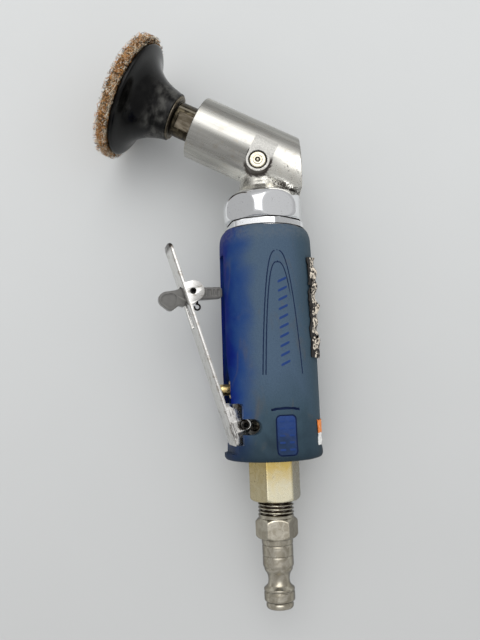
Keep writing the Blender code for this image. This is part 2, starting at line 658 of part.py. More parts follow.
# ---- the handle -----------------------------------------------------------------------------

def handle_body():
    """Valve body: a spigot for the motor housing, the lever lug, and the bores for air."""
    body = turned("handle_body", [
        (0, -84.9), (MOTOR_RADIUS, -84.9), (MOTOR_RADIUS, JOINT_PLANE), (HOUSING_RADIUS, JOINT_PLANE),
        (HOUSING_RADIUS, BODY_SHOULDER), (9.9, BODY_SHOULDER), (9.9, BODY_END), (6.8, BODY_END),
        (6.8, -111.8), (4.6, -111.8), (4.6, -98.0), (0, -98.0)], "aluminium", HANDLE)
    cut(body,
        block("lug_near", (-20, -20, -115), (-6.2, -LUG_HALF_WIDTH, -101.5)),
        block("lug_far", (-20, LUG_HALF_WIDTH, -115), (-6.2, 20, -101.5)),
        rod("bushing_bore", 3.9, 8.6, 17, parent=VALVE),
        rod("seat_bore", 2.4, 5.5, 9.0, parent=VALVE),
        rod("valve_chamber", 4.6, -10, 6.0, parent=VALVE),
        rod("plug_bore", 5.4, -17, -9.6, parent=VALVE),
        rod("pivot_bore", 1.75, -20, 20, parent=LEVER_PIN),
        rod("regulator_bore", 2.15, -1, 10, parent=REGULATOR_AXIS),
        rod("feed_port", 1.8, -96, -84, parent=FEED))
    for side in (-1, 1):
        axis = empty(f"exhaust_axis_{'near' if side < 0 else 'far'}", HANDLE, (4.9, side * 8.5, 0))
        cut(body, rod(f"exhaust_bore_{'near' if side < 0 else 'far'}", 1.5, -115, -84, parent=axis))


def grip_sleeve():
    """Rubber sleeve: rounded shoulder, slight waist above a rolled lip, open round the lever."""
    lip = SLEEVE_LIP_RADIUS
    outer = [(16.1, SLEEVE_TOP), (17.2, -32.9), (18.0, -34.4), (18.37, -36.8), (18.7, -75.0),
             (18.9, -100.0), (18.7, -112.0), (18.9, -117.5), (lip, -119.6), (lip, -120.8),
             (lip - 0.6, -121.9), (lip - 1.8, SLEEVE_END)]
    inner = [(13.2, SLEEVE_END), (13.2, -121.4), (SLEEVE_BORE, -121.4), (SLEEVE_BORE, SLEEVE_TOP)]
    sleeve = turned("grip_sleeve", outer + inner, "blue_rubber", HANDLE, FINE_ROUND, ring=True)
    cut(sleeve,
        block("lever_notch", (-BIG, -BIG, -119.3), (-14.4, BIG, -100.5)),
        block("ear_pocket", (-15, -9.3, -118.6), (-9.8, 9.3, -101.2)),
        block("stem_slot", (-BIG, -4.3, -101), (-13, 4.3, -89.5)),
        block("relief_rear", (-BIG, -5.8, -101), (-16.2, 5.8, -91.0)),
        block("relief_front", (-BIG, -4.5, -91.5), (-16.3, 4.5, -85.0)),
        block("lever_channel", (-BIG, -3.4, -90), (-16.4, 3.4, -42)),
        block("latch_pocket", (-BIG, -3.0, -68), (-13, 3.0, -44)),
        rod("pin_window", 3.0, -30, 30, parent=PIN_WINDOW),
        block("pin_window_mouth", (-15, -30, PIN_WINDOW_PLACE[1] - 3),
              (PIN_WINDOW_PLACE[0], 30, PIN_WINDOW_PLACE[1] + 3)))


def exhaust_group():
    tube("exhaust_muffler", 10.3, 15.2, -118.0, -116.2, "felt", HANDLE)
    ring = tube("exhaust_diffuser", 10.3, 15.3, -121.0, -118.3, "black_plastic", HANDLE)
    for i in range(6):
        angle = math.tau * (i + 0.5) / 6
        axis = empty(f"diffuser_axis_{i + 1}", HANDLE,
                     (12.8 * math.cos(angle), 12.8 * math.sin(angle), 0))
        cut(ring, rod(f"diffuser_hole_{i + 1}", 1.2, -122, -117, parent=axis, segments=8))


def inlet_group():
    bushing = hexagon("inlet_bushing", INLET_FLATS, INLET_END, -122.1, INLET_TURN, "brass")
    join(bushing, rod("inlet_thread", 6.5, -122.5, -112.1, segments=ROUND))
    cut(bushing, turned("inlet_bore", [(0, -111), (4.75, -111), (4.75, -129.4), (7.05, -129.4),
                                       (7.05, -140), (0, -140)]))
    turned("inlet_screen", [
        (0, -112.6), (4.4, -112.6), (4.4, -119.0), (3.9, -119.0), (3.9, -113.1), (0, -113.1)],
        "steel", MOTOR, SMALL_ROUND)
    plug = turned("air_plug", [
        (3.0, -130.0), (6.5, -130.0), (6.8, -131.0), (6.8, PLUG_HEX_TOP), (6.6, PLUG_HEX_END),
        (5.95, PLUG_HEX_END - 0.6), (5.95, -164.2), (4.3, -166.4), (4.3, -170.2), (5.9, -171.4),
        (5.9, -176.2), (4.9, -176.8), (4.9, PLUG_END), (3.0, PLUG_END)], "nickel", MOTOR, ring=True)
    nut = hexagon("plug_hexagon", PLUG_FLATS, PLUG_HEX_END, PLUG_HEX_TOP, PLUG_TURN)
    join(plug, cut(nut, rod("plug_bore_cut", 3.2, -160, -140)))


# ---- throttle lever, safety latch, valve and regulator ---------------------------------------

def flange_edge(along):
    """How far out of the pivot line the flange of the lever ends, at a place along the lever."""
    if abs(along) < PIVOT_EAR_RADIUS - 0.05:
        return -math.sqrt(PIVOT_EAR_RADIUS ** 2 - along ** 2)
    out, place = LATCH_PIVOT
    if abs(along - place) < LATCH_EAR_RADIUS:
        return out - 0.4 - math.sqrt(LATCH_EAR_RADIUS ** 2 - (along - place) ** 2)
    if 0 < along < PIVOT_EAR_START:
        rise = 1.0 - ((along - 2.5) / (PIVOT_EAR_START - 2.5)) ** 2
        return FLANGE_EDGE - (FLANGE_EDGE + 1.0) * rise
    if EAR_FOOT < along < 0:
        return -0.65
    if along <= EAR_FOOT:
        return -0.65 + (EAR_FOOT - along) / (EAR_FOOT - LEVER_TAIL) * 2.85
    return FLANGE_EDGE


def lever_stations():
    ear = LATCH_EAR_RADIUS
    middle = LATCH_PIVOT[1]
    near_pivot = [LEVER_TAIL, EAR_FOOT, -3.0, -2.4, -1.6, -0.8, 0.0, 0.8, 1.6, 2.4, 3.0, 4.4, 5.8, 7.2,
                  8.2, PIVOT_EAR_START]
    near_latch = [middle + ear * math.sin(math.radians(angle)) for angle in range(-84, 85, 24)]
    between = [20.0, 35.0, middle - ear - 0.1]
    return near_pivot + between + near_latch + [middle + ear + 0.1, 66.0, LEVER_TIP - 1.5, LEVER_TIP]


def throttle_lever():
    """A pressed channel: web and two flanges as one open sheet, thickened inwards."""
    bm = bmesh.new()
    rows = []
    for along in lever_stations():
        edge = flange_edge(along)
        half = LEVER_HALF_WIDTH
        corners = ((-edge, half), (-LEVER_WEB, half), (-LEVER_WEB, -half), (-edge, -half))
        rows.append([bm.verts.new((x, y, along)) for x, y in corners])
    for row, following in zip(rows, rows[1:]):
        for i in range(3):
            bm.faces.new((row[i], row[i + 1], following[i + 1], following[i]))
    lever = add_object("throttle_lever", mesh_of("throttle_lever", bm), "chrome", LEVER)
    solidify = lever.modifiers.new("sheet", "SOLIDIFY")
    solidify.thickness = SHEET * MM
    solidify.offset = -1.0
    solidify.use_even_offset = True
    middle = LATCH_PIVOT[1]
    cut(lever,
        rod("lever_pin_hole", 1.85, -10, 10, parent=LEVER_PIN),
        rod("latch_pin_hole", 1.35, -10, 10, parent=LATCH_PIN),
        block("latch_slot", (-10, -2.4, middle - 13.7), (-3.9, 2.4, middle + 3.4), parent=LEVER))
    tube("lever_pin", 0.8, 1.6, -9.0, 9.0, "dark_steel", LEVER_PIN, SMALL_ROUND)


def safety_latch():
    """Thumb tab outside the lever, hub on the pin, and an arm that stands on the sleeve."""
    tip = LATCH_ARM
    outline = [(tip, 1.4), (tip - 0.8, 2.2), (3.4, 2.0)]
    outline += arc((0, 0), 2.8, 60, 110, 3)
    outline += [(-4.7, 1.5), (-6.5, 0.9), (-10.9, 0.3), (-12.3, -0.9), (-12.9, -2.8), (-12.3, -4.3),
                (-9.0, -6.9), (-7.6, -7.0), (-4.9, -4.9), (-3.0, -5.5), (-1.6, -3.4), (3.4, -2.7),
                (tip - 0.8, -2.2), (tip, -1.4)]
    latch = plate("safety_latch", outline[::-1], LATCH_THICKNESS, "black_plastic", LATCH,
                  turned_by(90, "X"))
    cut(latch, rod("latch_bore", 1.35, -5, 5, parent=LATCH_PIN, segments=16))
    rod("latch_pin", 1.1, -6.9, 6.9, "dark_steel", LATCH_PIN, 16)
    radius = 1.7
    points = [(radius, -6.4, 2.7)] + coil(2.5, radius, 2.7, 4.9, 8)
    wire("latch_spring", points, 0.3, "steel", LATCH_PIN)


def throttle_valve():
    """A stem with its poppet, sprung shut against the seat bore from inside the chamber."""
    turned("valve_stem", [
        (0, STEM_TIP), (1.2, STEM_TIP - 0.15), (1.9, STEM_TIP - 0.6), (STEM_RADIUS, STEM_TIP - 1.3),
        (STEM_RADIUS, 9.2), (STEM_NECK_RADIUS, 8.6), (STEM_NECK_RADIUS, 5.7), (3.6, 5.7), (3.6, 3.2),
        (0, 3.2)], "brass", VALVE, SMALL_ROUND)
    tube("valve_bushing", STEM_RADIUS + 0.2, 3.6, 10.4, 16.6, "brass", VALVE, SMALL_ROUND)
    tube("valve_stem_seal", STEM_RADIUS + 0.2, 3.6, 8.9, 10.1, "black_rubber", VALVE, SMALL_ROUND)
    wire("valve_spring", coil(4.5, 2.8, -9.0, 2.2, 8), 0.35, "steel", VALVE)
    plug = rod("valve_plug", 5.1, -14.6, -9.9, "brass", VALVE)
    cut(plug, block("plug_driver_slot", (-6, -0.6, -17), (6, 0.6, -13.4), parent=VALVE))


def air_regulator():
    screw = rod("regulator_screw", 2.0, -0.7, 5.0, "brass", REGULATOR_AXIS)
    cut(screw, block("regulator_slot", (-0.4, -3, 3.8), (0.4, 3, 8), parent=REGULATOR_AXIS))


# ---- labels on the sleeve --------------------------------------------------------------------

def label(name, start, end, low, high, material):
    """A thin curved patch on the sleeve, between two angles from the handle's -Y side."""
    steps = max(3, round((end - start) / 9))
    bm = bmesh.new()
    rows = []
    for i in range(steps + 1):
        angle = math.radians(start + (end - start) * i / steps - 90)
        x, y = LABEL_RADIUS * math.cos(angle), LABEL_RADIUS * math.sin(angle)
        rows.append((bm.verts.new((x, y, low)), bm.verts.new((x, y, high))))
    for (a, b), (c, d) in zip(rows, rows[1:]):
        bm.faces.new((a, c, d, b))
    patch = add_object(name, mesh_of(name, bm), material, HANDLE)
    solidify = patch.modifiers.new("sheet", "SOLIDIFY")
    solidify.thickness = LABEL_THICKNESS * MM
    solidify.offset = 1.0


# ---- the whole tool ---------------------------------------------------------------------------

angle_head()
grease_nipple()
front_bearing_group()
spindle_group()
mandrel()
backing_pad()
disc_and_button()
pinion_group()
clamp_nut()
motor_housing()
end_plates()
cylinder_liner()
rotor_and_vanes()
handle_body()
grip_sleeve()
exhaust_group()
inlet_group()
throttle_lever()
safety_latch()
throttle_valve()
air_regulator()
label("side_label", 40, 112, -86.0, -44.5, "worn_label")
label("rear_label", 51, 87, -117.0, -108.5, "orange_label")
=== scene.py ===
"""Looks of the angle die grinder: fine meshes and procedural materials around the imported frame.

Places come from the frame's joints: the crossing of the spindle and handle axes, the lever's pivot
and the latch's pin. Sizes are millimetres in the axis frame that each piece is built in.
"""

import json
import math
import random

import bmesh
import bpy
from mathutils import Matrix, Vector, noise


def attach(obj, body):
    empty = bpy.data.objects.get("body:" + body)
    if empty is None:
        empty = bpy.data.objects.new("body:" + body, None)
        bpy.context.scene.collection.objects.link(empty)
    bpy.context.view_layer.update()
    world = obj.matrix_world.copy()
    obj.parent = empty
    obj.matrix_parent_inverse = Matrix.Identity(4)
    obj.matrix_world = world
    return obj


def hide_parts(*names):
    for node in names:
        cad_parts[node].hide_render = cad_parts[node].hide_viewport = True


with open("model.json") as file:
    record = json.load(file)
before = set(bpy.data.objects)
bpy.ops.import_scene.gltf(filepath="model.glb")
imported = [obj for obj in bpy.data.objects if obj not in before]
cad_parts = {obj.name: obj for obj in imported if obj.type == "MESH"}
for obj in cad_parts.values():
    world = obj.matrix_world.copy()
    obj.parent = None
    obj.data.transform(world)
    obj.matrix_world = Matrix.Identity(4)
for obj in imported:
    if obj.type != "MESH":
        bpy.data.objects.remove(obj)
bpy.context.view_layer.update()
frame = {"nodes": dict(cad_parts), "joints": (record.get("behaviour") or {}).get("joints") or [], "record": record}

MM = 0.001
SEGMENTS = 120                 # round a large turned piece
SMALL_SEGMENTS = 40            # round a small one

# ---- driving dimensions, as in the CAD -------------------------------------------------------
LEVER_ANGLE = 16.8
LEVER_TIP = 75.5
LEVER_TAIL = -6.8
LEVER_WEB = 5.75
LEVER_SHEET = 1.0
FLANGE_EDGE = 4.3
LEVER_HALF_WIDTH = 6.5
PIVOT_EAR_RADIUS = 3.0
PIVOT_EAR_START = 9.0          # along the lever from its pivot
EAR_FOOT = -4.3
LATCH_EAR_RADIUS = 4.0
LATCH_PLACE = 54.8             # along the lever
HEAD_ANGLE = 62.5              # between the spindle and handle axes
HEAD_RADIUS = 12.86
HEAD_FACE = 29.25
HEAD_BACK_PLANE = 15.5
CLAMP_TOP = -16.96
CLAMP_BOTTOM = -28.7
COLLAR_BOTTOM = -31.8
JOINT_PLANE = -88.6
SLEEVE_TOP = -32.1
SLEEVE_END = -122.4
SLEEVE_BORE = 15.8
SLEEVE_LIP_RADIUS = 19.3
INLET_END = -138.5
HUB_FACE = 39.0
DISC_FACE = 62.8
DISC_BACK = 58.6
DISC_RADIUS = 25.4
PAD_FACE = 58.3
PAD_RADIUS = 23.6
NIPPLE_TOP = 14.2
CLAMP_FLATS, CLAMP_TURN = 30.4, -9.5
COLLAR_FLATS, COLLAR_TURN = 27.9, 13.5
INLET_FLATS, INLET_TURN = 17.6, 40.0
PLUG_FLATS, PLUG_TURN = 14.3, 32.5
THREAD_PITCH = 1.41


# ---- axis frames -----------------------------------------------------------------------------

def axes(origin, x, z):
    """A right-handed frame with Z along z and X as near to x as it can be."""
    z = Vector(z).normalized()
    x = Vector(x)
    x = (x - z * x.dot(z)).normalized()
    matrix = Matrix((x, z.cross(x), z)).transposed().to_4x4()
    matrix.translation = Vector(origin)
    return matrix


JOINTS = {joint["name"]: joint for joint in frame["joints"]}
CROSSING = Vector(JOINTS["spindle_spin"]["pos_m"])
ALONG = Vector((0, 1, 0))
INWARD = Vector(JOINTS["valve_push"]["axis"])
TOOL = Matrix.Translation(CROSSING)
SPINDLE = axes(CROSSING, (0, 0, 1), JOINTS["spindle_spin"]["axis"])
MOTOR = axes(CROSSING, (1, 0, 0), ALONG)
HANDLE = axes(CROSSING, INWARD, ALONG)
LEVER = (axes(JOINTS["lever_press"]["pos_m"], INWARD, ALONG)
         @ Matrix.Rotation(math.radians(-LEVER_ANGLE), 4, "Y"))
LATCH = axes(JOINTS["latch_flip"]["pos_m"], INWARD, ALONG)


def shifted(at, x, y, z):
    return at @ Matrix.Translation(Vector((x, y, z)) * MM)


def turned_frame(at, degrees, axis):
    return at @ Matrix.Rotation(math.radians(degrees), 4, axis)


VALVE = turned_frame(shifted(HANDLE, 0, 0, -95.1), -90, "Y")
LEVER_PIN = turned_frame(axes(JOINTS["lever_press"]["pos_m"], INWARD, ALONG), 90, "X")
LATCH_PIN = turned_frame(LATCH, 90, "X")
REGULATOR = turned_frame(axes(JOINTS["regulator_turn"]["pos_m"], INWARD, ALONG), 90, "X")
NIPPLE = shifted(TOOL, -1.7, -5.5, 0)
NUT_FLATS = turned_frame(SPINDLE, -19, "Z")


# ---- materials -------------------------------------------------------------------------------

class Layer:
    """A value in a material's node tree. Arithmetic on it adds math nodes."""

    def __init__(self, look, socket):
        self.look = look
        self.socket = socket

    def math(self, operation, other=0.0):
        made = self.look.node("ShaderNodeMath", operation=operation)
        self.look.feed(made.inputs[0], self)
        self.look.feed(made.inputs[1], other)
        return Layer(self.look, made.outputs[0])

    def __add__(self, other):
        return self.math("ADD", other)

    def __sub__(self, other):
        return self.math("SUBTRACT", other)

    def __mul__(self, other):
        return self.math("MULTIPLY", other)

    def most(self, other):
        return self.math("MAXIMUM", other)

    def inverse(self):
        return self * -1.0 + 1.0

    def ramp(self, low, high):
        """0 below `low`, 1 above `high` (or the other way round when low is the larger)."""
        made = self.look.node("ShaderNodeMapRange", clamp=True, interpolation_type="SMOOTHSTEP")
        ends = ((low, 0.0), (high, 1.0)) if low < high else ((high, 1.0), (low, 0.0))
        self.look.feed(made.inputs["Value"], self)
        for name, (place, value) in zip(("Min", "Max"), ends):
            made.inputs["From " + name].default_value = place
            made.inputs["To " + name].default_value = value
        return Layer(self.look, made.outputs["Result"])


class Look:
    """A Principled material, built up in coats of colour. Lengths in it are millimetres."""

    def __init__(self, name, colour, metallic=0.0, roughness=0.5):
        self.material = bpy.data.materials.new(name)
        self.material.use_nodes = True
        self.tree = self.material.node_tree
        self.shader = self.tree.nodes["Principled BSDF"]
        self.colour = colour
        self.set("Roughness", roughness)
        self.set("Metallic", metallic)

    def node(self, kind, **settings):
        made = self.tree.nodes.new(kind)
        for key, value in settings.items():
            setattr(made, key, value)
        return made

    def feed(self, socket, value):
        if isinstance(value, Layer):
            self.tree.links.new(value.socket, socket)
        elif isinstance(value, tuple) and socket.type == "RGBA":
            socket.default_value = (*value, 1.0)
        else:
            socket.default_value = value

    def set(self, name, value):
        self.feed(self.shader.inputs[name], value)

    def place(self, along=1.0):
        """Where the point is on its piece; `along` scales the third axis."""
        mapping = self.node("ShaderNodeMapping")
        coordinates = self.node("ShaderNodeTexCoord")
        self.feed(mapping.inputs["Vector"], Layer(self, coordinates.outputs["Object"]))
        mapping.inputs["Scale"].default_value = (1 / MM, 1 / MM, along / MM)
        return Layer(self, mapping.outputs["Vector"])

    def noise(self, size, detail=4.0, along=1.0, distortion=0.0):
        """Cloudy noise with features about `size` across, longer along Z when `along` is small."""
        made = self.node("ShaderNodeTexNoise")
        self.feed(made.inputs["Vector"], self.place(along))
        made.inputs["Scale"].default_value = 1.0 / size
        made.inputs["Detail"].default_value = detail
        made.inputs["Distortion"].default_value = distortion
        return Layer(self, made.outputs["Fac"])

    def along(self, axis):
        """Position along one of the piece's own axes."""
        made = self.node("ShaderNodeSeparateXYZ")
        self.feed(made.inputs[0], self.place())
        return Layer(self, made.outputs[axis])

    def vector(self, operation, first, second, output="Vector"):
        made = self.node("ShaderNodeVectorMath", operation=operation)
        self.feed(made.inputs[0], first)
        made.inputs[1].default_value = second
        return Layer(self, made.outputs[output])

    def across(self, point):
        """Distance from a point of the piece's own frame, seen along X."""
        flat = self.vector("MULTIPLY", self.vector("SUBTRACT", self.place(), point), (0, 1, 1))
        return self.vector("LENGTH", flat, (0, 0, 0), "Value")

    def painted(self, name):
        """A value stored on the mesh's points."""
        return Layer(self, self.node("ShaderNodeAttribute", attribute_name=name).outputs["Fac"])

    def mix(self, factor, a, b):
        made = self.node("ShaderNodeMix", data_type="RGBA", clamp_factor=True)
        for index, value in ((0, factor), (6, a), (7, b)):
            self.feed(made.inputs[index], value)
        return Layer(self, made.outputs[2])

    def coat(self, factor, colour):
        """Lay a colour over what is there, as thick as the factor says."""
        self.colour = self.mix(factor, self.colour, colour)

    def crevice(self, distance):
        """1 in corners that are closed in within `distance`, 0 on open surfaces."""
        made = self.node("ShaderNodeAmbientOcclusion", samples=8)
        made.inputs["Distance"].default_value = distance * MM
        return Layer(self, made.outputs["AO"]).inverse()

    def edge(self, low=0.52, high=0.60):
        """1 on convex edges of a finely divided mesh."""
        return Layer(self, self.node("ShaderNodeNewGeometry").outputs["Pointiness"]).ramp(low, high)

    def paint_side_shade(self, amount):
        """Paint shade over the colour so far where the surface turns away from the eye."""
        away = Layer(self, self.node("ShaderNodeLayerWeight").outputs["Facing"]).ramp(0.25, 0.85)
        shade = self.node("ShaderNodeMix", data_type="RGBA", blend_type="MULTIPLY")
        for index, value in ((0, away * amount), (6, self.colour), (7, (0.10, 0.085, 0.06))):
            self.feed(shade.inputs[index], value)
        self.colour = Layer(self, shade.outputs[2])

    def bump(self, height, strength, distance):
        made = self.node("ShaderNodeBump")
        made.inputs["Strength"].default_value = strength
        made.inputs["Distance"].default_value = distance * MM
        self.feed(made.inputs["Height"], height)
        self.set("Normal", Layer(self, made.outputs["Normal"]))

    def rough(self, value, low, high):
        """Roughness between two values, led by a layer."""
        made = self.node("ShaderNodeMapRange")
        self.feed(made.inputs["Value"], value)
        made.inputs["To Min"].default_value = low
        made.inputs["To Max"].default_value = high
        self.set("Roughness", Layer(self, made.outputs["Result"]))

    def done(self):
        self.set("Base Color", self.colour)
        return self.material


# grime's dark brown; laid into closed-in corners it is painted shade as well
GRIME_AND_SHADE = (0.045, 0.028, 0.014)


def brushed_aluminium():
    """Bright turned aluminium: fine streaks along the axis, stains and scratches."""
    look = Look("brushed_aluminium", (0.34, 0.335, 0.31), 1.0)
    streaks = look.noise(0.45, 5, along=0.03)
    stains = look.noise(3.0, 6, distortion=0.6)
    look.coat(look.noise(3.5, 4, along=0.06).ramp(0.35, 0.65), (0.515, 0.505, 0.47))
    look.coat(stains.ramp(0.54, 0.78), (0.40, 0.37, 0.31))
    look.coat(look.noise(0.3, 6, along=0.12).ramp(0.62, 0.72) * 0.5, (0.20, 0.19, 0.16))
    return look, streaks, stains


def aluminium():
    look, streaks, _ = brushed_aluminium()
    # grime and painted shade: dark brown where the corners close in
    look.coat(look.crevice(4.0).ramp(0.30, 0.75), GRIME_AND_SHADE)
    look.rough(streaks, 0.22, 0.40)
    look.bump(streaks, 0.10, 0.05)
    return look.done()


def head_metal():
    """The head's aluminium: a dull flat at the nipple, a pale neck, grease in the corners, and a dark half-ring
    below the nipple's boss that is grease and painted shadow.
    """
    look, streaks, stains = brushed_aluminium()
    nipple = SPINDLE.inverted() @ NIPPLE.translation / MM
    height = look.vector("DOT_PRODUCT", look.place(), SPINDLE.to_3x3().inverted() @ ALONG, "Value")
    ring = look.across(nipple)
    wander = (look.noise(1.4, 5, distortion=1.0) - 0.5) * 2.6
    # grease and painted shadow: a dark half-ring on the boss's lower side, away from the light
    grease_and_shadow = (ring + wander).ramp(6.3, 5.4) * ring.ramp(4.5, 4.9) * height.ramp(-4.0, -6.5)
    neck = height.ramp(-3.0, -10.0)
    behind = look.along("Z").ramp(-2.5, -6.5).most(0.12)
    blots = look.noise(1.1, 7, distortion=1.4).ramp(0.44, 0.53)
    corner = look.crevice(6.0).ramp(0.18, 0.42) * blots * behind
    speckle = look.noise(0.8, 6, distortion=1.2).ramp(0.57, 0.66) * look.noise(4.0, 3).ramp(0.40, 0.58)
    # the half-ring's painted shadow and grease, with grime in the neck's corners and speckles
    dirt_and_shade = grease_and_shadow.most(neck * corner.most(speckle))
    near_nipple = (look.along("Z") - nipple.z).math("ABSOLUTE").ramp(5.0, 4.7)
    flat = look.along("X").ramp(12.25, 12.55) * near_nipple
    cast = look.mix(look.noise(0.5, 5).ramp(0.35, 0.65), (0.30, 0.295, 0.28), (0.43, 0.425, 0.40))
    look.coat(neck * 0.80, (0.97, 0.95, 0.87))
    look.coat(flat * 0.8, cast)
    look.coat(neck * stains.ramp(0.40, 0.70) * 0.12, (0.40, 0.33, 0.24))
    look.coat(dirt_and_shade * 0.96, (0.020, 0.011, 0.006))
    look.set("Metallic", (dirt_and_shade * 0.9).inverse())
    look.rough(dirt_and_shade * 0.7 + flat * 0.5 + streaks, 0.16, 0.44)
    look.bump(streaks + stains * 0.6, 0.14, 0.07)
    return look.done()


def worn_chrome():
    """Smudged, pitted chrome, darkened brown where it is closed in: grime and painted shade."""
    look = Look("worn_chrome", (0.90, 0.91, 0.92), 1.0)
    smudge = look.noise(3.5, 5, distortion=0.4)
    scratch = look.noise(0.25, 3, along=0.08)
    look.coat(look.noise(0.45, 4).ramp(0.66, 0.72) * 0.65, (0.26, 0.24, 0.21))
    # grime and painted shade where the chrome is closed in
    look.coat((look.crevice(1.0) * (smudge + 0.4)).ramp(0.22, 0.50) * 0.85, (0.05, 0.035, 0.025))
    look.rough(smudge * 0.8 + scratch * 0.2, 0.02, 0.20)
    look.bump(scratch + smudge * 0.8, 0.05, 0.04)
    return look.done()


def lever_steel():
    """Bright pressed steel with rubbed streaks; grime and painted shade in the bends, dark grime smeared on the
    foot, and a painted shadow at the tip.
    """
    look = Look("pressed_steel", (0.74, 0.73, 0.70), 1.0)
    streaks = look.noise(0.35, 4, along=0.05)
    stains = look.noise(2.2, 6, distortion=0.8)
    # grime and painted shade in the bends: darker where the corners close in
    dirt_and_shade = (look.crevice(1.6) * (stains + 0.3)).ramp(0.26, 0.52)
    smears = look.noise(1.0, 5, along=0.22, distortion=0.8).ramp(0.54, 0.62)
    foot = look.along("Z").ramp(9.0, 5.0) * smears * look.along("X").ramp(0.5, -3.0)
    # painted shadow: the last millimetres of the tip darkened in patches
    tip = look.along("Z").ramp(LEVER_TIP - 3.2, LEVER_TIP - 1.6) * look.noise(2.0, 3).ramp(0.30, 0.45)
    dirt_and_shade = dirt_and_shade.most((foot * 0.8).most(tip))
    look.coat(stains.ramp(0.50, 0.75), (0.42, 0.38, 0.32))
    look.coat(dirt_and_shade * 0.93, (0.03, 0.022, 0.018))
    look.rough(streaks + dirt_and_shade * 0.5, 0.10, 0.32)
    look.bump(streaks, 0.08, 0.04)
    return look.done()


def oiled_steel():
    """Olive-brown steel, rubbed bright on its edges."""
    look = Look("oiled_steel", (0.022, 0.018, 0.012), 1.0)
    tone = look.noise(1.8, 6, distortion=0.5)
    look.coat(tone.ramp(0.35, 0.7), (0.100, 0.084, 0.055))
    look.coat(look.edge(), (0.30, 0.27, 0.21))
    look.rough(tone, 0.22, 0.52)
    look.bump(look.noise(0.35, 3), 0.08, 0.05)
    return look.done()


def black_oxide():
    """Oil-black steel of the pins and the small spring."""
    look = Look("black_oxide", (0.008, 0.007, 0.006), 0.6)
    tone = look.noise(0.8, 5)
    look.coat(tone.ramp(0.45, 0.75), (0.07, 0.055, 0.04))
    look.rough(tone, 0.25, 0.6)
    look.bump(tone, 0.1, 0.04)
    return look.done()


def rubbed_steel():
    """The wrench flats: grey-brown and duller than the oiled rounds."""
    look = Look("rubbed_steel", (0.12, 0.10, 0.07), 1.0)
    tone = look.noise(1.2, 6, along=0.3, distortion=0.6)
    look.coat(tone.ramp(0.35, 0.70), (0.27, 0.235, 0.18))
    look.rough(tone, 0.30, 0.55)
    look.bump(tone, 0.12, 0.05)
    return look.done()


def ground_steel():
    look = Look("ground_steel", (0.46, 0.46, 0.46), 1.0)
    grind = look.noise(0.3, 4, along=0.2)
    look.coat(grind, (0.64, 0.64, 0.62))
    look.rough(grind, 0.2, 0.38)
    look.bump(grind, 0.06, 0.03)
    return look.done()


def dull_nickel():
    """Dull nickel plate on the air plug, with small pits; painted shade darkens its sides, and grime and painted
    shade brown its grooves.
    """
    look = Look("dull_nickel", (0.60, 0.56, 0.465), 1.0)
    tone = look.noise(2.5, 6, distortion=0.7)
    fine = look.noise(0.4, 4)
    look.coat(tone.ramp(0.35, 0.68), (0.43, 0.39, 0.305))
    look.coat(look.edge(0.53, 0.62) * 0.7, (0.80, 0.77, 0.70))
    # painted shade on the sides that turn away from the eye
    look.paint_side_shade(0.95)
    # grime and painted shade brown the grooves
    look.coat((look.crevice(1.8) * (tone + 0.35)).ramp(0.15, 0.42) * 0.9, (0.05, 0.036, 0.022))
    look.rough(fine, 0.10, 0.34)
    look.bump(fine, 0.12, 0.05)
    return look.done()


def cream_plate():
    """The nipple's pale yellowish plating, worn, with grime and painted shade near-black in its small crevices."""
    look = Look("cream_plate", (0.66, 0.62, 0.50), 1.0)
    tone = look.noise(0.9, 6, distortion=0.6)
    look.coat(tone.ramp(0.35, 0.7), (0.46, 0.42, 0.32))
    # grime and painted shade in the small crevices
    look.coat((look.crevice(0.6) * (tone + 0.4)).ramp(0.22, 0.5) * 0.95, (0.02, 0.015, 0.01))
    look.rough(tone, 0.22, 0.45)
    look.bump(tone, 0.10, 0.04)
    return look.done()


def yellow_plate():
    """The inlet bushing: plated brass, yellower next to the sleeve, with painted shade on its side faces."""
    look = Look("plated_brass", (0.95, 0.89, 0.66), 1.0)
    tone = look.noise(3.0, 6, distortion=0.7)
    look.coat(look.along("Z").ramp(-136.0, -122.0) + (tone - 0.5), (0.70, 0.52, 0.17))
    # painted shade: the side faces on the right greyer and darker
    look.coat(look.along("X").ramp(6.2, 6.8) * 0.7, (0.40, 0.38, 0.31))
    # painted shade: the left facet darker, with some tone in it
    left_facet_shade = look.mix(tone, (0.46, 0.38, 0.21), (0.34, 0.27, 0.13))
    look.coat(look.along("X").ramp(-3.2, -3.8) * 0.7, left_facet_shade)
    # painted shade on the sides that turn away from the eye
    look.paint_side_shade(0.5)
    spots_and_crevice_shade = look.noise(0.8, 3, distortion=0.5).ramp(0.66, 0.70) * look.noise(4.0, 2).ramp(0.48, 0.60)
    # grime spots, with grime and painted shade in the crevices
    spots_and_crevice_shade = spots_and_crevice_shade.most((look.crevice(2.0) * tone).ramp(0.25, 0.4))
    look.coat(spots_and_crevice_shade * 0.9, (0.06, 0.04, 0.015))
    look.rough(tone, 0.14, 0.40)
    look.bump(look.noise(0.5, 4), 0.10, 0.05)
    return look.done()


def brass_like(name, light, dark):
    look = Look(name, light, 1.0)
    tone = look.noise(1.5, 5)
    look.coat(tone, dark)
    look.rough(tone, 0.18, 0.42)
    look.bump(look.noise(0.3, 3), 0.06, 0.04)
    return look.done()


